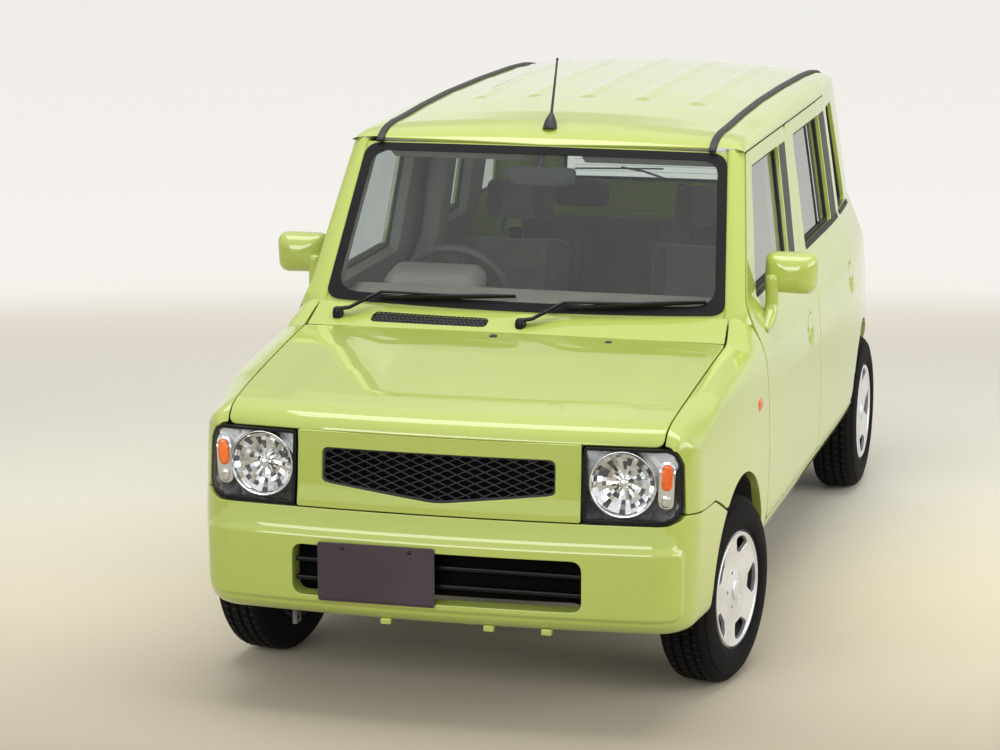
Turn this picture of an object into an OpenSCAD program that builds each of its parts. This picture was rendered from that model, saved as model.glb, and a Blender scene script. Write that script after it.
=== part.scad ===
// Five-door kei car, built as an assembly. Millimetres, +Z up, the nose points to -Y, the car's left is +X.
// The ground is z = 0 and the middle of the box is the origin.

/* [Body] */
// width over the doors
body_w = 1475; // [1440:5:1500]
// front end at lamp height, centre line
front_y = -1655; // [-1680:1:-1630]
// rear end at lamp height, centre line
rear_y = 1655; // [1630:1:1680]
// how far the front end bows back at the front corner
front_bow = 32; // [20:1:45]
// how far the rear end bows forward at the rear corner
rear_bow = 28; // [20:1:45]
// half width where the front corner starts
front_corner_x = 585; // [560:1:610]
// half width where the rear corner starts
rear_corner_x = 520; // [500:1:540]
// plan radius of the front corner
front_corner_r = 130; // [110:1:150]
// plan radius of the rear corner
rear_corner_r = 200; // [180:1:215]
// highest point of the roof
roof_z = 1505; // [1495:1:1520]
// gap between panels
gap = 5; // [5:0.5:8]
// thickness of doors, pillars and rear quarters
wall = 60; // [50:1:70]
// thickness of the fender sheet
sheet = 12; // [8:1:16]

/* [Doors] */
// front edge of the front door
door_front_y = -700; // [-710:1:-690]
// split between the doors
door_split_y = 225; // [210:1:240]
// rear edge of the rear door
door_rear_y = 1008; // [1000:1:1015]
// bottom edge of the doors
door_z0 = 372; // [368:1:380]
// top edge of the doors
door_z1 = 1411; // [1405:1:1415]
// bottom edge of the side windows
belt_z = 1018; // [1010:1:1030]
// top edge of the side windows
win_z1 = 1366; // [1355:1:1375]

/* [Front] */
// bottom of the grille panel and the lamps
lamp_z0 = 580; // [570:1:590]
// top of the grille panel and the lamps
lamp_z1 = 790; // [780:1:796]
// half width of the grille panel
panel_x = 397; // [390:1:400]
// outer edge of the lamps
lamp_x = 668; // [655:1:675]
// bottom of the front bumper
bumper_z0 = 268; // [260:1:280]
// top of the front bumper
bumper_z1 = 575; // [565:1:577]
// rear edge of the bonnet
bonnet_y1 = -852; // [-860:1:-845]
// bonnet half width at the nose
bonnet_x0 = 609; // [600:1:615]
// bonnet half width at the rear edge
bonnet_x1 = 630; // [620:1:635]

/* [Wheels] */
// tyre radius
tyre_r = 266; // [260:1:270]
// tyre width
tyre_w = 155; // [145:1:160]
// height of the tyre's side wall, tread to rim
tyre_side = 101; // [98:1:104]
// half track, front and rear
half_track = 647; // [640:1:650]
// front axle place along the car
front_axle = -1073; // [-1080:1:-1066]
// rear axle place along the car
rear_axle = 1287; // [1280:1:1294]
// gap between tyre and wheel arch
arch_gap = 39; // [36:1:44]
// height of the arch centre over the wheel centre
arch_rise = 26; // [22:1:30]
// how far the front wheels stand turned, as in the photo
steer_rest = -10; // [-12:1:0]
// height of the strut top
strut_z = 810; // [800:1:815]

/* [Mounts] */
// bore radius of the tow eyes
tow_r = 14; // [12:0.5:16]
// height of the tow eyes
tow_z = 240; // [235:1:245]
// thickness of the tow eyes
tow_t = 12; // [10:0.5:14]
// side of the square jacking pads
pad = 60; // [50:1:70]
// lower face of the jacking pads
pad_z = 290; // [285:1:295]

/* [Hidden] */
$fn = 96;
eps = 0.5;

paint = [0.72, 0.78, 0.38];
black = [0.09, 0.09, 0.09];
grey = [0.42, 0.42, 0.44];
silver = [0.75, 0.75, 0.77];
pane = [0.35, 0.42, 0.42, 0.6];
cloth = [0.55, 0.50, 0.45];
lampc = [0.85, 0.87, 0.9, 0.8];

// side section: [height, offset from the plan half width]
side_sec = [[300, -48], [345, -16], [400, -6], [560, 0], [740, -4], [850, -12], [888, -21],
  [belt_z, -75], [1200, -101], [win_z1, -126], [door_z1, -133], [1437, -143], [1458, -168], [1468, -222]];
// front end above the bumper: [height, offset]
front_sec = [[577, 13], [800, -6]];
// front bumper: [height, offset]
bumper_sec = [[268, -34], [285, -8], [310, 16], [330, 30], [380, 36], [470, 36], [505, 34], [520, 26],
  [545, 18], [577, 13]];
// rear end: [height, offset]
rear_sec = [[575, 5], [700, 0], [890, -25], [1018, -62], [1200, -105], [1366, -150], [1430, -175], [1455, -195]];
// rear bumper: [height, offset]
rear_bumper_sec = [[290, -14], [310, 16], [340, 36], [480, 42], [545, 38], [575, 20]];
// roof on the centre line: [y, height]
roof_line = [[-470, 1420], [-455, 1434], [-430, 1449], [-390, 1463], [-330, 1476], [-200, 1489], [0, 1498],
  [300, roof_z], [700, 1504], [1100, 1497], [1300, 1488], [1400, 1475], [1446, 1463], [1476, 1449]];
// roof drop from the centre line to the strips: [y, drop]
roof_drop = [[-470, 4], [-330, 20], [-200, 30], [1300, 33], [1446, 30], [1476, 22]];
// bonnet on the centre line: [distance from the lip, height]
bonnet_line = [[0, 800], [8, 816], [30, 832], [75, 846], [155, 858], [355, 881], [555, 902], [803, 924]];
// what follows the sizes above
wide = body_w / 2 - 737.5;
rim_r = tyre_r - tyre_side;
arch_r = tyre_r + arch_gap;
arch_z = tyre_r + arch_rise;
strip_x = 515 + wide;
// hinge pins: radius and the places of their axes
pin_r = 4;
door_pin_x = 720 + wide;
front_pin_y = door_front_y + 40;
rear_pin_y = door_split_y + 43;
bonnet_pin_y = bonnet_y1 - 14;
bonnet_pin_z = 914;
tail_pin_y = rear_y - 193;
tail_pin_z = 1385;

function mix(a, b, t) = a + (b - a) * t;
function half_w(y) = body_w / 2 - 5.8e-5 * pow(max(0, -700 - y), 2) - 6.0e-5 * pow(max(0, y - 700), 2);

// the plan outline of one end: s runs along it from the centre line; gives [x, y, normal x, normal y], the end at -Y
function end_path(s, y0, bow, xc, r) =
  let(a0 = atan(2 * bow / xc), a1 = 85, arc = r * (a1 - a0) * PI / 180,
    px = xc - r * sin(a0), py = y0 + bow + r * cos(a0),
    a = a0 + (s - xc) / r * 180 / PI,
    xe = px + r * sin(a1), ye = py - r * cos(a1), q = s - xc - arc,
    k = (body_w / 2 - xe) / pow(ye + 700, 2), yy = ye + q)
  s <= xc ? let(m = 2 * bow * s / xc / xc, h = sqrt(1 + m * m)) [s, y0 + bow * pow(s / xc, 2), m / h, -1 / h]
  : s <= xc + arc ? [px + r * sin(a), py - r * cos(a), sin(a), -cos(a)]
  : let(m = 2 * k * max(0, -700 - yy), h = sqrt(1 + m * m))
    [body_w / 2 - k * pow(max(0, -700 - yy), 2), yy, 1 / h, -m / h];

function front_path(s) =
  let(p = end_path(abs(s), front_y, front_bow, front_corner_x, front_corner_r))
  s < 0 ? [-p[0], p[1], -p[2], p[3]] : p;
function rear_path(s) =
  let(p = end_path(abs(s), -rear_y, rear_bow, rear_corner_x, rear_corner_r))
  s < 0 ? [p[0], -p[1], p[2], -p[3]] : [-p[0], -p[1], -p[2], -p[3]];

// a point of a band that follows an end: offset by the end's table in front, by the side section beside
function band(p, z, sec, d) =
  let(w = pow(p[3], 2), o = lookup(z, sec) * w + lookup(z, side_sec) * (1 - w) - d)
  [p[0] + p[2] * o, p[1] + p[3] * o, z];

// the side of the cabin
function side_x(y, z) = half_w(y) + lookup(z, side_sec);
function strip_z(y) = lookup(y, roof_line) - lookup(y, roof_drop);
function rail_z(y, z) = z <= door_z1 ? z : door_z1 + (z - door_z1) * (strip_z(y) - door_z1) / (1468 - door_z1);
function roof_pt(x, y) = lookup(y, roof_line) - lookup(y, roof_drop) * pow(x / strip_x, 2);

// front pillar: edge beside the windscreen and edge beside the door
function pillar_in(z) = [wide + mix(612, 563, (z - 979) / 436), mix(-736, -455, (z - 979) / 436), z];
function door_edge(z) = z < 780 ? door_front_y : z < 985 ? mix(door_front_y, -716, (z - 780) / 205)
  : mix(-716, -424, (z - 985) / (door_z1 - 985));

// the windscreen: u from -1 to 1 across, v from 0 to 1 up
function screen_pt(u, v, d) =
  [u * (wide + mix(609, 561, v)), mix(-756, -470, v) + mix(20, 15, v) * u * u + d * 0.84, mix(967, 1419, v)
    + mix(12, -5, v) * u * u - d * 0.54];

// the bonnet: u from -1 to 1 across, v from 0 at the lip to 1 at the rear edge
function bonnet_pt(u, v, d) =
  let(y0 = front_y + 63 * u * u, y = mix(y0, bonnet_y1, v * v * 0.5 + v * 0.5))
  [u * mix(bonnet_x0, bonnet_x1, v), y + (v < 0.02 ? d * 0.35 : 0),
    lookup(y - y0, bonnet_line) - mix(8, -2, v) * u * u - d * (v < 0.02 ? 0.25 : 1)];
function bonnet_edge(y) = let(t = (y - front_y - 63) / (bonnet_y1 - front_y - 63)) [mix(bonnet_x0, bonnet_x1, t), mix(790, 926, t)];
function crease_z(y) = 892 - 0.1 * max(0, -800 - y);

function grid(nu, nv, f) = [for (j = [0 : nv]) [for (i = [0 : nu]) f(i / nu, j / nv)]];

// a closed slab between an outer and an inner grid of points
module slab(outer, inner) {
  nr = len(outer);
  nc = len(outer[0]);
  n = nr * nc;
  pts = concat([for (r = outer) each r], [for (r = inner) each r]);
  skin = [for (j = [0 : nr - 2]) for (i = [0 : nc - 2]) each let(a = j * nc + i, b = a + 1, c = a + nc, d = c + 1)
    [[a, c, d], [a, d, b]]];
  back = [for (f = skin) [n + f[0], n + f[2], n + f[1]]];
  ring = concat([for (i = [0 : nc - 1]) i], [for (j = [1 : nr - 1]) j * nc + nc - 1],
    [for (i = [nc - 2 : -1 : 0]) (nr - 1) * nc + i], [for (j = [nr - 2 : -1 : 1]) j * nc]);
  edge = [for (k = [0 : len(ring) - 1]) each let(a = ring[k], b = ring[(k + 1) % len(ring)])
    [[a, b, n + b], [a, n + b, n + a]]];
  polyhedron(points = pts, faces = concat(skin, back, edge));
}

module both() {
  children();
  mirror([1, 0, 0]) children();
}

// a prism across the car from an outline in (y, z)
module across(x0, x1, outline) {
  translate([x0, 0, 0]) rotate([90, 0, 90]) linear_extrude(x1 - x0) polygon(outline);
}

// a prism along the car from an outline in (x, z)
module along(y0, y1, outline) {
  translate([0, y1, 0]) rotate([90, 0, 0]) linear_extrude(y1 - y0) polygon(outline);
}

// a bar across the car
module rod_x(x0, x1, y, z, r) {
  translate([x0, y, z]) rotate([0, 90, 0]) cylinder(r = r, h = x1 - x0);
}

module box(x0, x1, y0, y1, z0, z1) {
  translate([x0, y0, z0]) cube([x1 - x0, y1 - y0, z1 - z0]);
}

front_window = [[-556, belt_z], [-374, win_z1], [80, win_z1], [24, belt_z]];
rear_window = [[318, belt_z], [342, win_z1], [850, win_z1], [848, belt_z]];
quarter_window = [[1057, belt_z], [1057, win_z1], [1237, win_z1], [1295, belt_z]];

// a piece of the side skin between two edges given by height
module side_slab(rows, cols, y0, y1, d0, d1) {
  g = function(d) [for (z = rows) [for (i = [0 : cols]) let(y = mix(y0(z), y1(z), i / cols)) [side_x(y, z) - d, y, z]]];
  slab(g(d0), g(d1));
}

// edge of the rear quarter behind the rear door
function quarter_edge(z) = gap + (z < 425 ? mix(962, 995, (z - door_z0) / (425 - door_z0))
  : z < 470 ? mix(995, door_rear_y, (z - 425) / 45) : door_rear_y);

module roof_rails() color(paint) both() {
  ys = [-445, -430, -390, -330, -200, 0, 225, 500, 700, 850, 1008, 1150, 1300, 1400, 1446, 1470];
  rail = function(w) [for (t = [0, 0.2, 0.45, 0.7, 1]) [for (y = ys)
    let(a = 75 * t, x = side_x(y, door_z1), z0 = door_z1 + gap, z1 = strip_z(y), d = min(w, 0.9 * (z1 - z0)))
    [mix(x, strip_x, pow(t, 1.7)) - d * cos(a), y, mix(z0, z1, 1 - pow(1 - t, 2)) - d * sin(a)]]];
  slab(rail(0), rail(wall));
}

module front_pillars() color(paint) both() {
  rows = [952, 985, 1100, 1200, 1300, door_z1];
  out = [for (z = rows) let(e = pillar_in(z), y = door_edge(z) - gap * 1.3, x = side_x(y, z))
    [[e[0] + 4, e[1] + 6, z], [mix(e[0], x, 0.6), mix(e[1], y, 0.6) - 12, z], [x, y, z]]];
  back = [for (z = rows) let(e = pillar_in(z), y = door_edge(z) - gap * 1.3, x = side_x(y, z))
    [[e[0] - 40, e[1] + 34, z], [x - wall - 24, y + 36, z], [x - wall - 6, y + 1, z]]];
  slab(out, back);
}

module rear_quarters() color(paint) both() {
  rows = [300, 345, 400, 425, 470, 577, 740, 888, belt_z, 1200, win_z1, door_z1 + gap];
  ys = [0, 1100, 1200, 1300, 1375, 1446];
  arc = rear_corner_r * (85 - atan(2 * rear_bow / rear_corner_x)) * PI / 180;
  skin = function(d) [for (z = rows) concat(
    [for (y = ys) let(v = max(y, quarter_edge(z)), k = y > 1400 ? 1 : 0,
        e = k == 1 ? min(d, 0.8 * (rear_corner_r + lookup(z, rear_sec))) : d)
      [side_x(v, z) - e * (1 - 0.3 * k), v - e * 0.7 * k, z]],
    [for (k = [1 : 5]) let(b = band(rear_path(-(rear_corner_x + 1 + arc * (1 - k / 5))), z, rear_sec, 0),
        e = min(d, 0.8 * (rear_corner_r + lookup(z, rear_sec))), a = 45 + k * 9)
      [b[0] - e * cos(a), b[1] - e * sin(a), z]])];
  difference() {
    slab(skin(0), skin(wall));
    across(300, 900, quarter_window);
    rod_x(300, 900, rear_axle, arch_z, arch_r);
    rod_x(300, 676 + wide, rear_axle, arch_z, arch_r + 11.5);
    box(300, 900, rear_axle, rear_y + 145, 0, bumper_z1 + 2);
    box(500, 900, rear_y - 95, rear_y + 145, 600, 830);
    box(300, rear_corner_x + 1, rear_y - 305, rear_y + 145, 560, 1500);
  }
  rod_x(rear_corner_x - 30, rear_corner_x + 15, tail_pin_y, tail_pin_z, pin_r);
}

module sills() color(paint) both() {
  side_slab([300, 345, door_z0 - gap], 8, function(z) door_front_y - gap, function(z) quarter_edge(z), 0, wall + 45);
  // centre post behind the doors
  hull() {
    for (z = [340, door_z1 - 8]) box(side_x(225, z) - 150, side_x(225, z) - 84, door_split_y - 57, door_split_y + 57, z, z + 5);
  }
  for (y = [-560, 800]) box(625 + wide, 625 + wide + pad, y, y + pad, pad_z, 302);
  for (y = [front_pin_y, rear_pin_y]) translate([door_pin_x, y, 355]) cylinder(r = pin_r, h = 37);
}

module left_fender() {
  s0 = front_corner_x + 60;
  s1 = front_corner_x + front_corner_r * 79 * PI / 180;
  zs = [0, 0.2, 0.45, 0.7, 0.86, 0.96];
  pt = function(u, j, d)
    let(s = u < 0.25 ? mix(s0, s1, u / 0.25) : s1 + (u - 0.25) / 0.75 * 800, p = front_path(s),
      e = bonnet_edge(max(-1592, p[1])), zc = min(crease_z(p[1]), e[1] - 4),
      w = u < 0.25 ? mix(60, 88, u / 0.25) : p[0] - e[0] - gap,
      o = j < 6 ? lookup(mix(300, zc, zs[j]), side_sec) - d : j == 6 ? -20 - d * 0.8 : j == 7 ? -40 - d * 0.4 : -w,
      z = j < 6 ? mix(300, zc, zs[j]) : j == 6 ? zc - d * 0.6 : j == 7 ? mix(zc, e[1], 0.5) + 3 - d * 0.9 : e[1] - d)
    [p[0] + p[2] * o, p[1] + p[3] * o, z];
  g = function(d) [for (j = [0 : 8]) [for (i = [0 : 16]) pt(i / 16, j, d)]];
  difference() {
    slab(g(0), g(sheet));
    box(300, 900, front_y - 145, front_axle, 0, bumper_z1 + gap);
    box(300, lamp_x + 4, front_y - 145, front_y + 155, 0, lamp_z1 + 3);
    across(300, 900, [[door_front_y - gap, 0], [door_front_y - gap, 780], [-716 - gap, 985], [-716 - gap, 1100], [-500, 1100], [-500, 0]]);
    rod_x(300, 900, front_axle, arch_z, arch_r);
  }
  rod_x(600, 645, bonnet_pin_y, bonnet_pin_z, pin_r);
}

module fenders() color(paint) both() left_fender();

module roof_panel() color(paint) roof_shape();
module roof_shape() {
  ys = [for (r = roof_line) if (r[0] != -455) r[0]];
  f = function(d) [for (y = ys) [for (i = [-6 : 6])
    let(x = i / 6 * (strip_x - 8), e = y > -460 ? y : -464.5 + 15 * pow(x / (561 + wide), 2)) [x, e, roof_pt(x, e) - d]]];
  difference() {
    slab(f(0), f(30));
    rod_x(-600, 600, tail_pin_y, tail_pin_z, 42);
  }
}

module cowl_panel() color(paint) difference() {
  f = function(d) grid(12, 3, function(u, v) let(t = 2 * u - 1)
    [t * (wide + mix(612, 598, v)), mix(-846, -761, v) + 18 * v * t * t, mix(923, 962, v) + mix(2, 12, v) * t * t - d]);
  slab(f(0), f(20));
  for (x = wiper_x) translate([x, -800, 880]) cylinder(r = 11.02, h = 120);
}
wiper_x = [-543, 16];

// the grille opening in the front panel, in (x, z)
grille_line = [[-326, 652], [-326, 745], [326, 745], [326, 652], [300, 646], [0, 612], [-300, 646]];
module front_panel() color(paint) {
  difference() {
    slab(grid(10, 4, function(u, v) band(front_path(mix(-panel_x, panel_x, u)), mix(lamp_z0, lamp_z1, v), front_sec, 0)),
      grid(10, 4, function(u, v) band(front_path(mix(-panel_x, panel_x, u)), mix(lamp_z0, lamp_z1, v), front_sec, 35)));
    along(front_y - 145, front_y + 155, grille_line);
  }
}

module grille_mesh() color(black) {
  translate([0, front_y + 21, 0]) rotate([90, 0, 0]) linear_extrude(8) intersection() {
    polygon(grille_line);
    union() {
      for (x = [-520 : 52 : 520], a = [-30, 30]) translate([x, 680]) rotate(a) square([500, 5], center = true);
      translate([-326, 738]) square([652, 8]);
      translate([-326, 640]) square([8, 110]);
      translate([318, 640]) square([8, 110]);
    }
  }
}

module front_lamps() both() {
  line = [[panel_x + 4, lamp_z0 + 2], [625, lamp_z0 + 2], [652, lamp_z0 + 12], [lamp_x, lamp_z0 + 40],
    [lamp_x, lamp_z1 - 50], [655, lamp_z1 - 22], [630, lamp_z1 - 10], [panel_x + 4, lamp_z1 - 10]];
  color(lampc) intersection() {
    slab(grid(12, 2, function(u, v) band(front_path(mix(390, 730, u)), mix(570, 800, v), front_sec, 0)),
      grid(12, 2, function(u, v) band(front_path(mix(390, 730, u)), mix(570, 800, v), front_sec, 60)));
    along(front_y - 145, front_y + 255, line);
  }
  // side markers
  color([0.9, 0.45, 0.1]) box(half_w(-838) - 4, half_w(-838) + 7, -868, -808, 730, 764);
}

module front_bumper() color(paint) {
  rows = [for (r = bumper_sec) min(r[0], bumper_z1)];
  s1 = 1090;
  f = function(d) [for (z = rows) [for (i = [-16 : 16]) let(s = s1 * sign(i) * pow(abs(i) / 16, 0.85))
    band(front_path(s), z, bumper_sec, d)]];
  difference() {
    slab(f(0), f(40));
    along(front_y - 145, front_y + 155, [[-392, 336], [-404, 350], [-404, 470], [-392, 482], [392, 482], [404, 470], [404, 350], [392, 336]]);
    rod_x(-900, 900, front_axle, arch_z, arch_r);
    rod_x(-676 - wide, 676 + wide, front_axle, arch_z, arch_r + 11.5);
  }
}

module bumper_insert() color(black) {
  difference() {
    box(-402, 402, front_y + 25, front_y + 55, 334, 484);
    for (z = [348, 394, 440]) box(-388, 388, front_y + 15, front_y + 43, z, z + 34);
  }
}

module front_plate() color([0.25, 0.2, 0.24]) {
  box(-325, 5, front_y - 42.5, front_y - 39.5, 330, 495);
  for (x = [-265, -73]) box(x, x + 18, front_y - 40, front_y + 25, 474, 481);
}

module fixed_glass() color(pane) {
  windscreen(0);
  both() side_glass(quarter_window, 1000, 1320);
}
module windscreen(d) {
  slab(grid(12, 8, function(u, v) screen_pt(2 * u - 1, v, d)), grid(12, 8, function(u, v) screen_pt(2 * u - 1, v, 6)));
}

// side glass lying in the windows
module side_glass(outline, y0, y1) {
  intersection() {
    side_slab([belt_z - 20, 1130, 1250, win_z1 + 20], 6, function(z) y0, function(z) y1, 22, 27);
    across(300, 900, outline);
  }
}
module glass_front_left() color(pane) side_glass(front_window, -600, 120);
module glass_front_right() color(pane) mirror([1, 0, 0]) side_glass(front_window, -600, 120);
module glass_rear_left() color(pane) side_glass(rear_window, 280, 900);
module glass_rear_right() color(pane) mirror([1, 0, 0]) side_glass(rear_window, 280, 900);

module front_door() {
  difference() {
    side_slab([door_z0, 400, 560, 740, 780, 850, 888, 985, belt_z, 1200, win_z1, door_z1], 10,
      function(z) door_edge(z), function(z) door_split_y - gap / 2, 0, wall);
    across(300, 900, front_window);
    translate([door_pin_x, front_pin_y, 300]) cylinder(r = pin_r + 0.05, h = 93);
  }
}
module rear_door() {
  difference() {
    side_slab([door_z0, 425, 470, 560, 740, 850, 888, belt_z, 1200, win_z1, door_z1], 9,
      function(z) door_split_y + gap / 2,
      function(z) z < 425 ? mix(962, 995, (z - door_z0) / (425 - door_z0)) : z < 470 ? mix(995, door_rear_y, (z - 425) / 45)
        : door_rear_y, 0, wall);
    across(300, 900, rear_window);
    translate([door_pin_x, rear_pin_y, 300]) cylinder(r = pin_r + 0.05, h = 93);
  }
}
module door_front_left() color(paint) front_door();
module door_front_right() color(paint) mirror([1, 0, 0]) front_door();
module door_rear_left() color(paint) rear_door();
module door_rear_right() color(paint) mirror([1, 0, 0]) rear_door();

module mirror_part() difference() {
  mirror_shape();
  side_slab([880, 888, belt_z, 1030], 2, function(z) -680, function(z) -480, -0.3, 90);
}
module mirror_shape() {
  hull() {
    for (x = [715, 815], z = [1030, 1105]) translate([x, -505, z]) scale([1, 1.6, 1]) sphere(r = 20, $fn = 24);
  }
  hull() {
    translate([712, -520, 1025]) cube([30, 40, 10], center = true);
    translate([704, -590, 935]) cube([24, 60, 24], center = true);
  }
}
module mirror_left() color(paint) mirror_part();
module mirror_right() color(paint) mirror([1, 0, 0]) mirror_part();

module bonnet() color(paint) difference() {
  slab(grid(14, 14, function(u, v) bonnet_pt(2 * u - 1, v, 0)), grid(14, 14, function(u, v) bonnet_pt(2 * u - 1, v, 18)));
  both() rod_x(598, 700, bonnet_pin_y, bonnet_pin_z, pin_r + 0.05);
}

tail_x = rear_corner_x - gap;
rear_screen = [[-425, 1015], [-440, 1040], [-420, 1330], [-395, 1350], [395, 1350], [420, 1330], [440, 1040], [425, 1015]];
function tail_pt(u, z, d) = let(p = rear_path(mix(-tail_x, tail_x, u)), o = lookup(z, rear_sec) - d)
  [p[0] * (z > 1018 ? 1 - 0.00001 * (z - 1018) : 1), p[1] + o, z];
module tailgate() color(paint) {
  rows = [580, 700, 890, 1018, 1200, 1366, 1400];
  f = function(d) [for (z = rows) [for (i = [0 : 10]) tail_pt(i / 10, z, d)]];
  difference() {
    slab(f(0), f(50));
    along(rear_y - 355, rear_y + 145, rear_screen);
    both() rod_x(rear_corner_x - 32, 600, tail_pin_y, tail_pin_z, pin_r + 0.05);
  }
}
module tailgate_glass() color(pane) intersection() {
  slab([for (z = [1000, 1200, 1390]) [for (i = [0 : 8]) tail_pt(i / 8, z, 12)]],
    [for (z = [1000, 1200, 1390]) [for (i = [0 : 8]) tail_pt(i / 8, z, 17)]]);
  along(rear_y - 355, rear_y + 145, rear_screen);
}

module rear_bumper() color(paint) {
  rows = [for (r = rear_bumper_sec) r[0]];
  f = function(d) [for (z = rows) [for (i = [-14 : 14]) let(s = 990 * sign(i) * pow(abs(i) / 14, 0.85))
    band(rear_path(s), z, rear_bumper_sec, d)]];
  difference() {
    slab(f(0), f(40));
    rod_x(-900, 900, rear_axle, arch_z, arch_r);
    rod_x(-676 - wide, 676 + wide, rear_axle, arch_z, arch_r + 11.5);
  }
}

module tail_lamps() color([0.6, 0.05, 0.05]) both() intersection() {
  slab(grid(8, 2, function(u, v) band(rear_path(-mix(815, 500, u)), mix(590, 840, v), rear_sec, 0)),
    grid(8, 2, function(u, v) band(rear_path(-mix(815, 500, u)), mix(590, 840, v), rear_sec, 45)));
  box(rear_corner_x + 1, 900, rear_y - 94.7, rear_y + 145, 600.3, 829.7);
}

module wheel_liners() color(black) both() {
  for (y = [front_axle, rear_axle]) difference() {
    rod_x(414, 670 + wide, y, arch_z, arch_r + 11);
    rod_x(420, 700 + wide, y, arch_z, arch_r + 5);
    box(300, 800, y - 500, y + 500, -200, arch_z + 58);
    translate([y < 0 ? 545 : 435, y, 250]) cylinder(r = 60, h = 600);
  }
}

// wipers lying along the foot of the windscreen
module wipers() color(black) {
  for (x = wiper_x) {
    translate([x, -800, 930]) cylinder(r = 11, h = 40);
    hull() {
      translate([x, -800, 972]) cube([16, 14, 8], center = true);
      translate([x + 300, -768, 985]) cube([10, 8, 8], center = true);
    }
    hull() {
      translate([x + 100, -782, 984]) cube([10, 8, 8], center = true);
      translate([x + 530, -768 + 25 * pow((x + 530) / 609, 2), 992]) cube([10, 8, 8], center = true);
    }
  }
}

module aerial() color(black) {
  difference() {
    translate([0, -395, 1456]) rotate([-25, 0, 0]) cylinder(r = 17, h = 44);
    roof_shape();
  }
  translate([0, -395, 1461]) rotate([-25, 0, 0]) translate([0, 0, 20]) cylinder(r = 4, h = 202);
}

module seat() {
  box(-225, 225, -160, 330, 340, 500);
  translate([0, 300, 470]) rotate([-16, 0, 0]) translate([-210, -60, 0]) cube([420, 130, 560]);
  translate([0, 300, 470]) rotate([-16, 0, 0]) translate([-130, -40, 585]) cube([260, 90, 150]);
  translate([0, 300, 470]) rotate([-16, 0, 0]) translate([-60, -5, 540]) cube([14, 14, 60]);
  translate([0, 300, 470]) rotate([-16, 0, 0]) translate([46, -5, 540]) cube([14, 14, 60]);
  box(-200, 200, -120, 300, 300, 345);
}
module front_seats() color(cloth) for (x = [-320, 320]) translate([x, 0, 0]) seat();
module rear_seat() color(cloth) difference() {
  rear_bench();
  both() rod_x(405, 900, rear_axle, arch_z, arch_r + 16);
}
module rear_bench() {
  box(-530, 530, 620, 918, 400, 540);
  box(-530, 530, 900, 1090, 495.5, 540);
  translate([0, 1060, 510]) rotate([-14, 0, 0]) translate([-520, -50, 0]) cube([1040, 110, 480]);
  for (x = [-280, 280]) translate([0, 1060, 510]) rotate([-14, 0, 0]) translate([x - 110, -30, 470]) cube([220, 80, 110]);
  box(-480, 480, 660, 900, 300, 402);
}

module dashboard() color(grey) {
  across(-560, 560, [[-750, 700], [-750, 930], [-690, 985], [-560, 1000], [-440, 965], [-400, 900], [-430, 720], [-520, 640], [-700, 640]]);
  // steering column
  translate([-345, -207, 919]) rotate([-65, 0, 0]) translate([0, 0, -300]) cylinder(r = 34, h = 255);
  // instrument hood
  translate([-345, -440, 985]) scale([1, 0.6, 0.4]) sphere(r = 150, $fn = 24);
}

module inner_mirror() color(black) difference() {
  mirror_and_arm();
  roof_shape();
}
module mirror_and_arm() {
  translate([-9, -470, 1328]) cube([225, 22, 60], center = true);
  hull() {
    translate([0, -464, 1335]) cube([20, 12, 20], center = true);
    translate([0, -440, 1412]) cube([24, 16, 12], center = true);
  }
}

module steering_wheel() color(black) translate([-345, -207, 919]) rotate([-65, 0, 0]) {
  rotate_extrude() translate([172, 0]) circle(r = 13);
  translate([0, 0, -40]) cylinder(r = 62, h = 45);
  for (a = [0, 180, 270]) rotate(a) translate([40, -16, -20]) cube([125, 32, 14]);
}

module engine() color(grey) box(-310, 310, front_y + 165, -1000, 330, 780);

// floor, rear step and load floor, with the rear tow eye
module floor_pan() color(grey) difference() {
  union() {
    box(-600 - wide, 600 + wide, -790, 930, 270, 300);
    box(-530, 530, 920, 945, 270, 480);
    box(-530, 530, 920, rear_y - 55, 470, 495);
    box(386, 386 + tow_t, rear_y - 100, rear_y - 60, tow_z - 26, 480);
  }
  rod_x(350, 450, rear_y - 80, tow_z, tow_r);
  both() rod_x(413, 900, rear_axle, arch_z, arch_r + 11.3);
}

module bulkhead() color(grey) difference() {
  union() {
    box(-565, 565, -790, -765, 300, 915);
    both() box(560, 670 + wide, -790, -715, 320, 900);
  }
  both() rod_x(413, 900, front_axle, arch_z, arch_r + 11.3);
}

// rails, strut towers, bumper beam and the front tow eye
module front_rails() color(grey) {
  both() {
    box(335, 405, front_y + 80, -790, 420, 500);
    box(310, 340, -1300, -1240, 430, 490);
    box(335, 405, front_axle - 37, front_axle + 37, 490, strut_z + 18);
    box(335, 610, front_axle - 67, front_axle + 67, strut_z + 4, strut_z + 18);
    box(400, 440, front_y + 55, front_y + 80, 380, 520);
    box(400, 446, front_y + 80, front_y + 140, 420, 460);
  }
  box(-520, 520, front_y + 55, front_y + 85, 400, 520);
  // support behind the grille panel and the lamps
  ss = [-640, -520, -404, -398, -200, 0, 200, 398, 404, 520, 640];
  f = function(k) [for (z = [515, 578, 588, 760]) [for (s = ss)
    band(front_path(s), z, front_sec, k == 1 ? 80 : abs(s) < 400 && z > 580 ? 35.5 : 61.5)]];
  slab(f(0), f(1));
  difference() {
    box(-446, -446 + tow_t, front_y + 100, front_y + 140, tow_z - 26, 460);
    rod_x(-500, -400, front_y + 120, tow_z, tow_r);
  }
}

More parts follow.
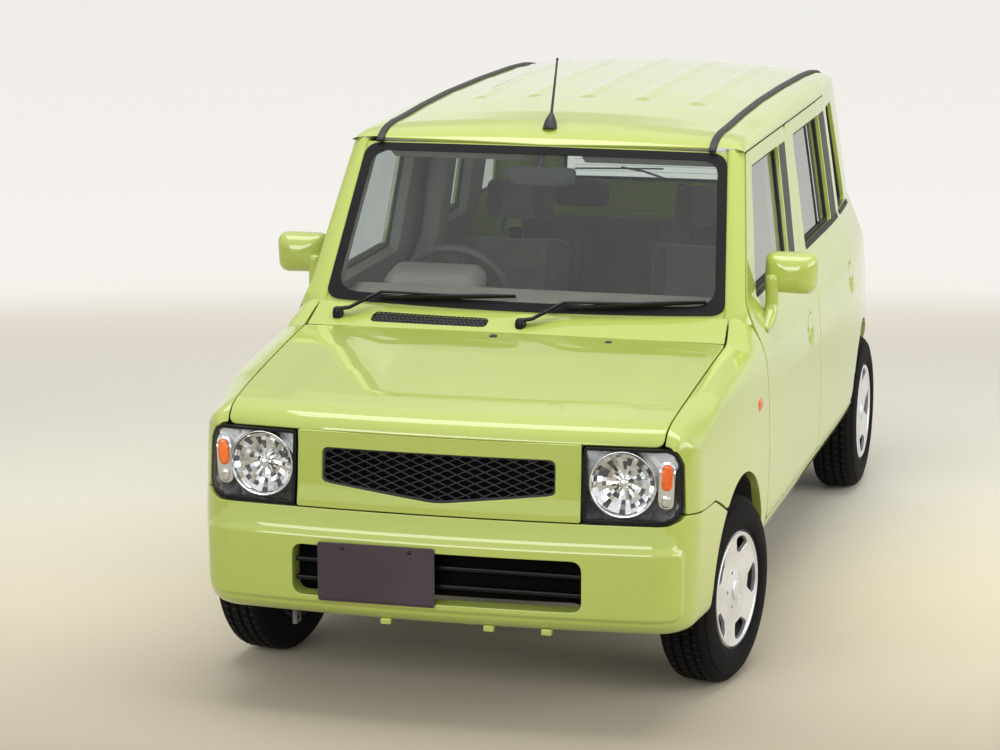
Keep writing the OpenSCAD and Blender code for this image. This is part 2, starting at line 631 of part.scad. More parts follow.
module front_crossmember() color(black) {
  box(-368, 368, -1010, -870, 190, 262);
  both() {
    box(338, 368, -940, -880, 190, 420);
    box(300, 625, front_axle - 22, front_axle + 22, 160, 180);
    box(270, 330, front_axle - 22, -1000, 160, 200);
    translate([637, front_axle, 160]) cylinder(r = 20, h = 22);
  }
}

module rear_axle_beam() color(black) {
  rod_x(-560, 560, rear_axle, tyre_r, 30);
  both() {
    rod_x(555, half_track + 3, rear_axle, tyre_r, 20);
    rod_x(556, 572, rear_axle, tyre_r, 105);
    box(410, 460, 880, rear_axle, tyre_r - 36, 270);
    translate([435, rear_axle, tyre_r + 19]) cylinder(r = 50, h = 470 - tyre_r - 19);
  }
}

module exhaust() color(grey) {
  translate([-260, -860, 205]) rotate([-90, 0, 0]) cylinder(r = 24, h = rear_y + 615);
  translate([-260, rear_y - 255, 235]) rotate([-90, 0, 0]) cylinder(r = 85, h = 180);
  translate([-300, rear_y - 85, 215]) rotate([-90, 0, 0]) cylinder(r = 20, h = 105);
  // hanger up to the floor
  box(-270, -250, rear_y - 175, rear_y - 155, 300, 470);
}

module fuel_tank() color(grey) box(-200, 380, 320, 820, 175, 270);

kp_x = 640 - (tyre_r - 180) * 102 / (strut_z - 180);
// the steered corner stands turned about its kingpin
module steered(side) {
  translate([side * kp_x, front_axle, tyre_r]) rotate(a = steer_rest, v = [-side * 102, 0, strut_z - 180])
    translate([-side * kp_x, -front_axle, -tyre_r]) children();
}

module knuckle() {
  box(578, 618, front_axle - 40, front_axle + 40, 186, tyre_r + 84);
  rod_x(578, half_track + 3, front_axle, tyre_r, 20);
  rod_x(600, half_track - 9, front_axle, tyre_r, 60);
  box(515, 600, front_axle - 25, front_axle + 25, tyre_r + 44, tyre_r + 84);
  translate([538, front_axle, 300]) cylinder(r = 24, h = 300);
  translate([538, front_axle, 580]) cylinder(r = 11, h = strut_z - 580);
}
module knuckle_left() color(black) steered(1) knuckle();
module knuckle_right() color(black) steered(-1) mirror([1, 0, 0]) knuckle();

// turning pieces are drawn about the wheel's own axis, outside to +Z, then stood up
module wheel_at(side, y) {
  translate([side * half_track, y, tyre_r]) rotate([0, side * 90, 0]) children();
}
module tyre() color(black) rotate_extrude() polygon([[rim_r, -66], [rim_r + 12, -72], [rim_r + 50, -tyre_w / 2],
  [tyre_r - 22, -tyre_w / 2 + 4], [tyre_r - 6, -tyre_w / 2 + 14], [tyre_r, -tyre_w / 2 + 34], [tyre_r, tyre_w / 2 - 34],
  [tyre_r - 6, tyre_w / 2 - 14], [tyre_r - 22, tyre_w / 2 - 4], [rim_r + 50, tyre_w / 2], [rim_r + 12, 72], [rim_r, 66]]);
module wheel() color(silver) difference() {
  rotate_extrude() polygon([[21, -8], [60, -8], [60, 20], [120, 34], [rim_r - 15, 20], [rim_r - 11, -75],
    [rim_r + 7, -75], [rim_r + 7, -70.5], [rim_r, -66.3], [rim_r, 66.3], [rim_r + 7, 70.5], [rim_r + 7, 75], [rim_r - 1, 76],
    [100, 70], [60, 64], [0, 64], [0, 8], [21, 8]]);
  for (a = [0 : 72 : 288]) rotate(a) linear_extrude(120) polygon([[120, -20], [rim_r - 26, -27], [rim_r - 22, 0], [rim_r - 26, 27], [120, 20]]);
}
module tyre_front_left() steered(1) wheel_at(1, front_axle) tyre();
module tyre_front_right() steered(-1) wheel_at(-1, front_axle) tyre();
module tyre_rear_left() wheel_at(1, rear_axle) tyre();
module tyre_rear_right() wheel_at(-1, rear_axle) tyre();
module wheel_front_left() steered(1) wheel_at(1, front_axle) wheel();
module wheel_front_right() steered(-1) wheel_at(-1, front_axle) wheel();
module wheel_rear_left() wheel_at(1, rear_axle) wheel();
module wheel_rear_right() wheel_at(-1, rear_axle) wheel();

floor_pan();
bulkhead();
front_rails();
sills();
rear_quarters();
roof_rails();
front_pillars();
roof_panel();
fenders();
cowl_panel();
front_panel();
grille_mesh();
front_lamps();
front_bumper();
bumper_insert();
front_plate();
fixed_glass();
rear_bumper();
tail_lamps();
wheel_liners();
wipers();
aerial();
front_seats();
rear_seat();
dashboard();
inner_mirror();
engine();
front_crossmember();
rear_axle_beam();
exhaust();
fuel_tank();
bonnet();
tailgate();
tailgate_glass();
door_front_left();
door_front_right();
door_rear_left();
door_rear_right();
glass_front_left();
glass_front_right();
glass_rear_left();
glass_rear_right();
mirror_left();
mirror_right();
steering_wheel();
knuckle_left();
knuckle_right();
tyre_front_left();
tyre_front_right();
tyre_rear_left();
tyre_rear_right();
wheel_front_left();
wheel_front_right();
wheel_rear_left();
wheel_rear_right();
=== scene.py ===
# %% [markdown]
# A small upright car with five doors, dressed for the camera. The imported model gives the frame: every
# solid is in metres, +Z is up, the nose points to -Y and the car's left is +X.

# %% Load the frame
import math
import bmesh
import bpy
import numpy as np
from mathutils import Matrix, Vector
from mathutils.geometry import delaunay_2d_cdt


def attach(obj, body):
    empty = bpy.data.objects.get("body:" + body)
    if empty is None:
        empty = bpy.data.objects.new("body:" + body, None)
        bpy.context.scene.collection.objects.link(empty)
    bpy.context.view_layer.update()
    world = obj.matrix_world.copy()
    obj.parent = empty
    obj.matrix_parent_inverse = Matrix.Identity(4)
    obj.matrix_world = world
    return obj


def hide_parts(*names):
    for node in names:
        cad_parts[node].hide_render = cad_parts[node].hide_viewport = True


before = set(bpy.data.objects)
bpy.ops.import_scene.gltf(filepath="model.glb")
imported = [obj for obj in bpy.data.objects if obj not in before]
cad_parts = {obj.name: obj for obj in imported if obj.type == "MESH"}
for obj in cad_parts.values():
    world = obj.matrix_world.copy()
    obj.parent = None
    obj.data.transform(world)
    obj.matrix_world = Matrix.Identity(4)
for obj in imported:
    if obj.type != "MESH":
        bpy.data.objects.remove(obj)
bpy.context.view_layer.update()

MM = 0.001
scene = bpy.context.scene

# %% [markdown]
# The camera stands where the photo was taken: ahead of the car, a little to its left and above the
# roof, with a long lens. Its place was worked out from sizes that are known, the number plate, the tyres
# and the wheelbase. The image is taken as 1000 by 750.

# %% Camera
yaw, pitch, roll = (math.radians(a) for a in (14.877, 11.935, 0.154))
ahead = Vector((-math.sin(yaw) * math.cos(pitch), math.cos(yaw) * math.cos(pitch), -math.sin(pitch)))
right = Vector((math.cos(yaw), math.sin(yaw), 0))
up = right.cross(ahead)
right, up = right * math.cos(roll) - up * math.sin(roll), up * math.cos(roll) + right * math.sin(roll)
lens = bpy.data.cameras.new("camera")
lens.sensor_width, lens.lens, lens.shift_y = 36, 114.72, -0.0019
lens.clip_end = 200
camera = bpy.data.objects.new("camera", lens)
camera.matrix_world = Matrix.Translation((2.29671, -9.63199, 2.72236)) @ Matrix(
    (right, up, -ahead)).transposed().to_4x4()
scene.collection.objects.link(camera)
scene.camera = camera
scene.view_settings.view_transform = "Standard"
print("camera", [round(c, 3) for c in camera.location])

# %% [markdown]
# Studio light: wide soft boxes overhead, to the car's left and in front, and a pale world around. The
# world shows a white to grey wash to the camera, to mirrors and through glass, so it costs the car no
# extra light. The floor is a pale plane that keeps the shadow and fades into the wash all round. Its
# colour is painted shade, darker towards the camera.

# %% Light, world and floor
def area_light(name, place, look_at, size, power):
    data = bpy.data.lights.new(name, "AREA")
    data.shape, data.size, data.size_y, data.energy = "RECTANGLE", *size, power
    lamp = bpy.data.objects.new(name, data)
    lamp.location = place
    lamp.rotation_euler = (Vector(look_at) - Vector(place)).to_track_quat("-Z", "Y").to_euler()
    scene.collection.objects.link(lamp)
    return lamp


def fill_ramp(ramp, stops):
    """Sets a colour ramp's stops. The first stands at 0 and the last at 1."""
    for place, tone in stops:
        at_end = place in (0.0, 1.0)
        stop = ramp.elements[-int(place)] if at_end else ramp.elements.new(place)
        stop.color = (*tone, 1)


area_light("soft_box_top", (0.1, -0.7, 5.2), (0.1, -0.5, 0.0), (5.5, 2.6), 165)
area_light("soft_box_left", (5.6, -1.0, 2.2), (0.3, 0.0, 0.6), (6.0, 2.6), 155)
area_light("soft_box_front", (-1.2, -7.2, 3.2), (0.0, -1.2, 0.5), (5.0, 2.5), 190)

world = bpy.data.worlds.new("studio")
scene.world = world
world.use_nodes = True
wn, wl = world.node_tree.nodes, world.node_tree.links
wn.clear()
w_out = wn.new("ShaderNodeOutputWorld")
w_mix = wn.new("ShaderNodeMixShader")
w_light = wn.new("ShaderNodeBackground")
w_seen = wn.new("ShaderNodeBackground")
w_rays = wn.new("ShaderNodeLightPath")
w_coord = wn.new("ShaderNodeTexCoord")
w_split = wn.new("ShaderNodeSeparateXYZ")
w_ramp = wn.new("ShaderNodeValToRGB")
w_any = wn.new("ShaderNodeMath")
w_any2 = wn.new("ShaderNodeMath")
w_any.operation = w_any2.operation = "MAXIMUM"
w_light.inputs[0].default_value, w_light.inputs[1].default_value = (0.98, 0.99, 1.0, 1), 0.42
WASH = ((0.0, (0.6, 0.55, 0.45)), (0.39, (0.8, 0.75, 0.65)), (0.405, (0.75, 0.7, 0.6)),
        (0.411, (0.93, 0.9, 0.86)), (0.46, (0.86, 0.84, 0.8)), (0.52, (0.95, 0.95, 0.94)),
        (0.62, (0.95, 0.95, 0.94)), (0.66, (0.55, 0.56, 0.57)), (0.73, (0.55, 0.56, 0.57)),
        (0.77, (1, 1, 1)), (1.0, (1, 1, 1)))
fill_ramp(w_ramp.color_ramp, WASH)
w_map = wn.new("ShaderNodeMapRange")
w_map.inputs["From Min"].default_value, w_map.inputs["From Max"].default_value = -1, 1
wl.new(w_coord.outputs["Generated"], w_split.inputs[0])
wl.new(w_split.outputs["Z"], w_map.inputs["Value"])
wl.new(w_map.outputs[0], w_ramp.inputs[0])
wl.new(w_ramp.outputs[0], w_seen.inputs[0])
wl.new(w_rays.outputs["Is Camera Ray"], w_any.inputs[0])
wl.new(w_rays.outputs["Is Glossy Ray"], w_any.inputs[1])
wl.new(w_any.outputs[0], w_any2.inputs[0])
wl.new(w_rays.outputs["Is Transmission Ray"], w_any2.inputs[1])
wl.new(w_any2.outputs[0], w_mix.inputs[0])
wl.new(w_light.outputs[0], w_mix.inputs[1])
wl.new(w_seen.outputs[0], w_mix.inputs[2])
wl.new(w_mix.outputs[0], w_out.inputs[0])

FLOOR_END = 6.0
floor_mesh = bpy.data.meshes.new("studio_floor")
floor_mesh.from_pydata([(-40, -40, 0), (40, -40, 0), (40, FLOOR_END, 0), (-40, FLOOR_END, 0)], [],
                       [(0, 1, 2, 3)])
studio_floor = bpy.data.objects.new("studio_floor", floor_mesh)
scene.collection.objects.link(studio_floor)
print("lights", len(bpy.data.lights))

# %% [markdown]
# Most finishes on a car share two effects: a fine grain that breaks up gloss, and road dust that gathers
# low down. Each is a node group, built once, that puts out masks. A material holds the shader itself and
# sets its own constants. All patterns read Object coordinates, so they stay put when a door swings.

# %% Shared effects
def group(name, ins, outs):
    g = bpy.data.node_groups.new(name, "ShaderNodeTree")
    for label, kind, value in ins:
        s = g.interface.new_socket(label, in_out="INPUT", socket_type=kind)
        if value is not None:
            s.default_value = value
    for label, kind in outs:
        g.interface.new_socket(label, in_out="OUTPUT", socket_type=kind)
    return g, g.nodes.new("NodeGroupInput"), g.nodes.new("NodeGroupOutput")


def make_fine_grain():
    g, i, o = group("fine_grain", [("Place", "NodeSocketVector", None), ("Scale", "NodeSocketFloat", 200.0),
                                   ("Cloud", "NodeSocketFloat", 3.0)],
                    [("Height", "NodeSocketFloat"), ("Tone", "NodeSocketFloat")])
    fine, cloud = g.nodes.new("ShaderNodeTexNoise"), g.nodes.new("ShaderNodeTexNoise")
    fine.inputs["Detail"].default_value, cloud.inputs["Detail"].default_value = 3, 4
    for n, label in ((fine, "Scale"), (cloud, "Cloud")):
        g.links.new(i.outputs["Place"], n.inputs["Vector"])
        g.links.new(i.outputs[label], n.inputs["Scale"])
    g.links.new(fine.outputs[0], o.inputs["Height"])
    g.links.new(cloud.outputs[0], o.inputs["Tone"])
    return g


def make_road_dust():
    g, i, o = group("road_dust", [("Place", "NodeSocketVector", None), ("Top", "NodeSocketFloat", 0.5),
                                  ("Amount", "NodeSocketFloat", 0.5)], [("Mask", "NodeSocketFloat")])
    split, low = g.nodes.new("ShaderNodeSeparateXYZ"), g.nodes.new("ShaderNodeMapRange")
    noise = g.nodes.new("ShaderNodeTexNoise")
    both, much = g.nodes.new("ShaderNodeMath"), g.nodes.new("ShaderNodeMath")
    noise.inputs["Scale"].default_value, noise.inputs["Detail"].default_value = 9, 5
    both.operation = much.operation = "MULTIPLY"
    low.inputs["To Min"].default_value, low.inputs["To Max"].default_value = 1, 0
    g.links.new(i.outputs["Place"], split.inputs[0])
    g.links.new(split.outputs["Z"], low.inputs["Value"])
    g.links.new(i.outputs["Top"], low.inputs["From Max"])
    g.links.new(i.outputs["Place"], noise.inputs["Vector"])
    g.links.new(low.outputs[0], both.inputs[0])
    g.links.new(noise.outputs[0], both.inputs[1])
    g.links.new(both.outputs[0], much.inputs[0])
    g.links.new(i.outputs["Amount"], much.inputs[1])
    g.links.new(much.outputs[0], o.inputs["Mask"])
    return g


def make_weave():
    g, i, o = group("weave", [("Place", "NodeSocketVector", None), ("Scale", "NodeSocketFloat", 260.0)],
                    [("Height", "NodeSocketFloat")])
    waves = []
    for axis in ("X", "Z"):
        w = g.nodes.new("ShaderNodeTexWave")
        w.bands_direction = axis
        w.inputs["Distortion"].default_value = 1.2
        g.links.new(i.outputs["Place"], w.inputs["Vector"])
        g.links.new(i.outputs["Scale"], w.inputs["Scale"])
        waves.append(w)
    top = g.nodes.new("ShaderNodeMath")
    top.operation = "MAXIMUM"
    g.links.new(waves[0].outputs["Fac"], top.inputs[0])
    g.links.new(waves[1].outputs["Fac"], top.inputs[1])
    g.links.new(top.outputs[0], o.inputs["Height"])
    return g


fine_grain, road_dust, weave = make_fine_grain(), make_road_dust(), make_weave()
print("effects", [g.name for g in (fine_grain, road_dust, weave)])

# %% [markdown]
# One maker for all finishes. Two close colours are mixed by the cloudy mask, the roughness wanders a
# little, and the grain lifts or dents the surface through a Bump node. What is the same all over, such as
# coat, transmission or metal, is set straight on the shader.

# %% Finishes
def rgb(r, g, b):
    return tuple(((c / 255 + 0.055) / 1.055) ** 2.4 if c > 10 else c / 255 / 12.92 for c in (r, g, b)) + (1,)


def finish(name, dark, light, rough=(0.4, 0.5), grain=300.0, bump=0.0, cloud=3.0, dust=0.0, dust_top=0.5,
           woven=0.0, see_through=False, **fixed):
    mat = bpy.data.materials.new(name)
    mat.use_nodes = True
    nt = mat.node_tree
    sh = nt.nodes["Principled BSDF"]
    for label, value in fixed.items():
        sh.inputs[label.replace("_", " ").title().replace("Ior", "IOR")].default_value = value
    place = nt.nodes.new("ShaderNodeTexCoord").outputs["Object"]
    gn = nt.nodes.new("ShaderNodeGroup")
    gn.node_tree = fine_grain
    gn.inputs["Scale"].default_value, gn.inputs["Cloud"].default_value = grain, cloud
    nt.links.new(place, gn.inputs["Place"])
    spread = nt.nodes.new("ShaderNodeMapRange")
    spread.inputs["From Min"].default_value, spread.inputs["From Max"].default_value = 0.35, 0.65
    nt.links.new(gn.outputs["Tone"], spread.inputs["Value"])
    col = nt.nodes.new("ShaderNodeMix")
    col.data_type = "RGBA"
    col.inputs[6].default_value, col.inputs[7].default_value = dark, light
    nt.links.new(spread.outputs[0], col.inputs[0])
    colour = col.outputs[2]
    if dust > 0:
        dn = nt.nodes.new("ShaderNodeGroup")
        dn.node_tree = road_dust
        dn.inputs["Top"].default_value, dn.inputs["Amount"].default_value = dust_top, dust
        nt.links.new(place, dn.inputs["Place"])
        dusty = nt.nodes.new("ShaderNodeMix")
        dusty.data_type = "RGBA"
        dusty.inputs[7].default_value = rgb(122, 112, 98)
        nt.links.new(colour, dusty.inputs[6])
        nt.links.new(dn.outputs["Mask"], dusty.inputs[0])
        colour = dusty.outputs[2]
    nt.links.new(colour, sh.inputs["Base Color"])
    if not see_through:
        ro = nt.nodes.new("ShaderNodeMapRange")
        ro.inputs["To Min"].default_value, ro.inputs["To Max"].default_value = rough
        nt.links.new(gn.outputs["Tone"], ro.inputs["Value"])
        nt.links.new(ro.outputs[0], sh.inputs["Roughness"])
    else:
        sh.inputs["Roughness"].default_value = rough[0]
    if bump > 0:
        height = gn.outputs["Height"]
        if woven > 0:
            wv = nt.nodes.new("ShaderNodeGroup")
            wv.node_tree = weave
            wv.inputs["Scale"].default_value = woven
            nt.links.new(place, wv.inputs["Place"])
            height = wv.outputs["Height"]
        bp = nt.nodes.new("ShaderNodeBump")
        bp.inputs["Strength"].default_value, bp.inputs["Distance"].default_value = bump, 0.0006
        nt.links.new(height, bp.inputs["Height"])
        nt.links.new(bp.outputs[0], sh.inputs["Normal"])
    if see_through:
        rays, clear, mix = (nt.nodes.new(k)
                            for k in ("ShaderNodeLightPath", "ShaderNodeBsdfTransparent",
                                      "ShaderNodeMixShader"))
        clear.inputs[0].default_value = light
        out = nt.nodes["Material Output"]
        nt.links.new(rays.outputs["Is Shadow Ray"], mix.inputs[0])
        nt.links.new(sh.outputs[0], mix.inputs[1])
        nt.links.new(clear.outputs[0], mix.inputs[2])
        nt.links.new(mix.outputs[0], out.inputs[0])
    return mat


paint = finish("lime_paint", rgb(176, 190, 88), rgb(180, 194, 94), (0.30, 0.38), 900, 0.015, 1.5, dust=0.05,
               dust_top=0.35, coat_weight=1.0, coat_roughness=0.03, coat_ior=1.65,
               specular_ior_level=0.1)
trim = finish("black_trim", rgb(30, 28, 30), rgb(38, 36, 38), (0.42, 0.6), 700, 0.25, 6)
gloss_black = finish("gloss_black", rgb(12, 12, 14), rgb(17, 17, 19), (0.30, 0.38), 400, 0.0, 4,
                     specular_ior_level=0.22)
# Painted shade: a near-black matt finish for sheets that stand in for the dark space behind openings.
shade_black = finish("shade_black", rgb(5, 5, 6), rgb(9, 9, 10), (0.9, 1.0), 400, 0.1, 6,
                     specular_ior_level=0.1)
seal_rubber = finish("seal_rubber", rgb(16, 16, 17), rgb(24, 24, 25), (0.55, 0.75), 500, 0.2, 10)
clear_glass = finish("clear_glass", rgb(222, 230, 228), rgb(226, 233, 231), (0.0, 0.0), see_through=True,
                     transmission_weight=1.0, ior=1.45)
side_glass = finish("side_glass", rgb(222, 230, 228), rgb(226, 233, 231), (0.0, 0.0), see_through=True,
                    transmission_weight=1.0, ior=1.7)
lamp_glass = finish("lamp_glass", rgb(246, 248, 248), rgb(250, 251, 251), (0.0, 0.0), see_through=True,
                    transmission_weight=1.0, ior=1.35)
chrome = finish("lamp_chrome", rgb(236, 237, 238), rgb(244, 245, 246), (0.06, 0.12), 300, 0.0, 8,
                metallic=1.0)
mirror_glass = finish("mirror_glass", rgb(196, 206, 208), rgb(204, 213, 214), (0.02, 0.05), 300, 0.0, 4,
                      metallic=1.0)
# A pale non-metal white under a coat: painted reflection of the bright sky, in place of a silver reflector.
lamp_pale_painted_reflection = finish("lamp_pale_painted_reflection", rgb(236, 237, 239), rgb(244, 245, 246), (0.18, 0.3), 300, 0.0, 8,
                     coat_weight=0.6)
lamp_grey = finish("lamp_grey", rgb(66, 64, 68), rgb(82, 80, 84), (0.25, 0.4), 500, 0.05, 6, metallic=0.3)
amber = finish("amber_lens", rgb(214, 84, 18), rgb(232, 108, 28), (0.2, 0.3), 200, 0.05, 14, coat_weight=0.3)
red_lens = finish("red_lens", rgb(150, 14, 16), rgb(176, 20, 22), (0.12, 0.2), 200, 0.05, 12, coat_weight=1.0)
plate_dark = finish("plate_dark", rgb(56, 43, 51), rgb(63, 50, 58), (0.42, 0.55), 600, 0.06, 4)
tyre_rubber = finish("tyre_rubber", rgb(9, 8, 10), rgb(15, 14, 16), (0.7, 0.88), 350, 0.3, 12, dust=0.02,
                     dust_top=0.3, specular_ior_level=0.14)
cover_silver = finish("cover_silver", rgb(216, 217, 222), rgb(226, 227, 231), (0.28, 0.36), 1500, 0.03, 6,
                      metallic=0.55, coat_weight=0.5, dust=0.10, dust_top=0.5)
cover_dark = finish("rim_steel", rgb(15, 15, 16), rgb(24, 23, 24), (0.5, 0.7), 300, 0.1, 10, metallic=0.2)
seat_cloth = finish("seat_cloth", rgb(82, 73, 66), rgb(95, 85, 76), (0.85, 0.95), 400, 0.35, 9,
                    woven=95.0, sheen_weight=0.25)
seat_side = finish("seat_side_cloth", rgb(66, 59, 54), rgb(76, 68, 62), (0.85, 0.95), 400, 0.35, 9,
                   woven=120.0, sheen_weight=0.2)
dash_grain = finish("dash_grain", rgb(70, 66, 64), rgb(80, 75, 72), (0.5, 0.65), 420, 0.3, 5)
dash_light = finish("dash_light", rgb(112, 104, 96), rgb(122, 114, 105), (0.5, 0.62), 420, 0.25, 5)
lining = finish("roof_lining", rgb(136, 129, 120), rgb(146, 139, 130), (0.85, 0.95), 800, 0.3, 7)
carpet = finish("floor_carpet", rgb(52, 48, 46), rgb(66, 61, 58), (0.9, 1.0), 900, 0.6, 14)
under_black = finish("under_black", rgb(24, 24, 25), rgb(36, 35, 36), (0.5, 0.7), 200, 0.3, 9, dust=0.6,
                     dust_top=0.6)
body_grey = finish("body_grey", rgb(92, 94, 92), rgb(104, 106, 103), (0.45, 0.6), 200, 0.15, 5, dust=0.5,
                   dust_top=0.5)
cast_metal = finish("cast_metal", rgb(120, 120, 122), rgb(142, 142, 143), (0.4, 0.6), 160, 0.5, 8,
                    metallic=0.8, dust=0.4, dust_top=0.9)
pipe_steel = finish("pipe_steel", rgb(128, 122, 114), rgb(150, 145, 138), (0.3, 0.5), 90, 0.1, 12,
                    metallic=0.9, dust=0.6, dust_top=0.5)
stage_floor = finish("stage_floor", rgb(206, 196, 174), rgb(209, 199, 178), (0.7, 0.8), 40, 0.0, 0.4)
floor_nodes, floor_links = stage_floor.node_tree.nodes, stage_floor.node_tree.links
along = floor_nodes.new("ShaderNodeVectorMath")
along.operation = "DOT_PRODUCT"
along.inputs[1].default_value = (-math.sin(yaw), math.cos(yaw), 0)
reach, fade, floor_shade_ramp = (floor_nodes.new(k)
                     for k in ("ShaderNodeMapRange", "ShaderNodeMapRange", "ShaderNodeValToRGB"))
fade.interpolation_type = "SMOOTHSTEP"
for node, ends in ((reach, (-2, 4, 0, 1)), (fade, (1.9, 4.6, 1, 0))):
    for label, value in zip(("From Min", "From Max", "To Min", "To Max"), ends):
        node.inputs[label].default_value = value
    floor_links.new(along.outputs["Value"], node.inputs["Value"])
floor_links.new(floor_nodes.new("ShaderNodeTexCoord").outputs["Object"], along.inputs[0])
# Painted shade: the floor's colour runs darker and warmer towards the camera and paler towards the back.
FLOOR_PAINTED_SHADE = ((0.0, (0.45, 0.4, 0.3)), (0.27, (0.8, 0.72, 0.55)), (0.48, (0.93, 0.88, 0.74)),
              (1.0, (0.95, 0.92, 0.82)))
fill_ramp(floor_shade_ramp.color_ramp, FLOOR_PAINTED_SHADE)
floor_links.new(reach.outputs[0], floor_shade_ramp.inputs[0])
floor_links.new(floor_shade_ramp.outputs[0], floor_nodes["Principled BSDF"].inputs["Base Color"])
round_fade, distance = (floor_nodes.new("ShaderNode" + k) for k in ("MapRange", "VectorMath"))
unseen, kept, both = (floor_nodes.new("ShaderNodeMath") for _ in range(3))
round_fade.interpolation_type, distance.operation = "SMOOTHSTEP", "LENGTH"
unseen.operation, kept.operation, both.operation = "SUBTRACT", "MAXIMUM", "MULTIPLY"
for label, value in zip(("From Min", "From Max", "To Min", "To Max"), (3.6, 7.5, 1, 0)):
    round_fade.inputs[label].default_value = value
unseen.inputs[0].default_value = 1
floor_links.new(floor_nodes.new("ShaderNodeLightPath").outputs["Is Camera Ray"], unseen.inputs[1])
floor_links.new(floor_nodes.new("ShaderNodeTexCoord").outputs["Object"], distance.inputs[0])
floor_links.new(distance.outputs["Value"], round_fade.inputs["Value"])
floor_links.new(round_fade.outputs[0], kept.inputs[0])
floor_links.new(unseen.outputs[0], kept.inputs[1])
floor_links.new(fade.outputs[0], both.inputs[0])
floor_links.new(kept.outputs[0], both.inputs[1])
floor_links.new(both.outputs[0], floor_nodes["Principled BSDF"].inputs["Alpha"])
floor_mesh.materials.append(stage_floor)
print("finishes", len(bpy.data.materials))

# %% [markdown]
# Pieces are made in millimetres as plain arrays and become meshes at the end. A Shape holds points,
# normals and faces. Pressed panels carry the normals of the smooth surface that they follow, so their
# triangles never show in the gloss.

# %% Shapes
def face_normals(v, f):
    n = np.zeros_like(v)
    for q in f:
        p = v[list(q)]
        a = np.cross(p, np.roll(p, -1, 0)).sum(0)
        n[list(q)] += a
    size = np.linalg.norm(n, axis=1, keepdims=True)
    return n / np.where(size < 1e-9, 1, size)


class Shape:
    def __init__(self, v, f, n=None, m=0):
        self.v = np.asarray(v, float).reshape(-1, 3)
        self.f = [tuple(int(i) for i in q) for q in f]
        self.n = face_normals(self.v, self.f) if n is None else np.asarray(n, float)
        self.m = [m] * len(self.f) if np.isscalar(m) else list(m)

    def __add__(self, o):
        k = len(self.v)
        return Shape(np.vstack([self.v, o.v]), self.f + [tuple(i + k for i in q) for q in o.f],
                     np.vstack([self.n, o.n]), self.m + o.m)

    def mirrored(self):
        flip = np.array([-1, 1, 1])
        return Shape(self.v * flip, [q[::-1] for q in self.f], self.n * flip, self.m)

    def moved(self, place=(0, 0, 0), turn=None):
        r = np.eye(3) if turn is None else np.array(turn.to_3x3() if hasattr(turn, "to_3x3") else turn)
        return Shape(self.v @ r.T + np.array(place, float), self.f, self.n @ r.T, self.m)

    def finish(self, m):
        return Shape(self.v, self.f, self.n, m)


def no_shape():
    """An empty start for adding shapes up."""
    return Shape(np.zeros((0, 3)), [], np.zeros((0, 3)), [])


def turn(x=0, y=0, z=0):
    return (Matrix.Rotation(math.radians(z), 3, "Z") @ Matrix.Rotation(math.radians(y), 3, "Y")
            @ Matrix.Rotation(math.radians(x), 3, "X"))


def piece(name, shape, mats, body="car_body", slot=None, replaces=()):
    """Makes a shape into an object that rides on a body and may stand in for solids."""
    mesh = bpy.data.meshes.new(name)
    mesh.from_pydata((shape.v * MM).tolist(), [], shape.f)
    for mat in mats if isinstance(mats, (list, tuple)) else [mats]:
        mesh.materials.append(mat)
    mesh.polygons.foreach_set("material_index", shape.m)
    mesh.polygons.foreach_set("use_smooth", [True] * len(shape.f))
    n = shape.n / np.maximum(np.linalg.norm(shape.n, axis=1, keepdims=True), 1e-9)
    mesh.normals_split_custom_set_from_vertices(n.tolist())
    mesh.update()
    obj = bpy.data.objects.new(name, mesh)
    scene.collection.objects.link(obj)
    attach(obj, body)
    if replaces:
        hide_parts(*replaces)
    return obj


def pair(name, shape, mats, bodies=("car_body", "car_body"), **more):
    """A piece on the car's left and its mirror image on the right."""
    return [piece(name + "_left", shape, mats, bodies[0], **more),
            piece(name + "_right", shape.mirrored(), mats, bodies[1], **more)]


def rows(grid, m=0, closed=False, caps=False):
    """Four-sided faces between rows of points. Rows may close on themselves, and the ends may be capped."""
    g = np.asarray(grid, float)
    nr, nc = g.shape[:2]
    f = [(j * nc + i, j * nc + (i + 1) % nc, (j + 1) * nc + (i + 1) % nc, (j + 1) * nc + i)
         for j in range(nr - 1) for i in range(nc if closed else nc - 1)]
    if caps:
        f += [tuple(range(nc))[::-1], tuple(range((nr - 1) * nc, nr * nc))]
    return Shape(g.reshape(-1, 3), f, None, m)


def lathe(profile, n=48):
    """Turned about +Z from (radius, height) pairs that run outside-up, so faces look outwards."""
    a = np.linspace(0, 2 * np.pi, n, endpoint=False)
    return rows([[(r * np.cos(t), r * np.sin(t), z) for t in a] for r, z in profile], 0, True)


def sweep(points, r, n=10, section=None):
    """A round or given section carried along a line of points."""
    p = np.asarray(points, float)
    t = np.gradient(p, axis=0)
    t /= np.linalg.norm(t, axis=1, keepdims=True)
    side = np.cross(t[0], (0, 0, 1) if abs(t[0][2]) < 0.9 else (1, 0, 0))
    ring = section if section is not None else [(np.cos(a), np.sin(a))
                                                for a in np.linspace(0, 2 * np.pi, n, endpoint=False)]
    rr = np.broadcast_to(np.asarray(r, float), (len(p),))
    out = []
    for k in range(len(p)):
        side = side - t[k] * side.dot(t[k])
        side /= np.linalg.norm(side)
        other = np.cross(t[k], side)
        out.append([p[k] + rr[k] * (a * side + b * other) for a, b in ring])
    return rows(out, 0, True, True)


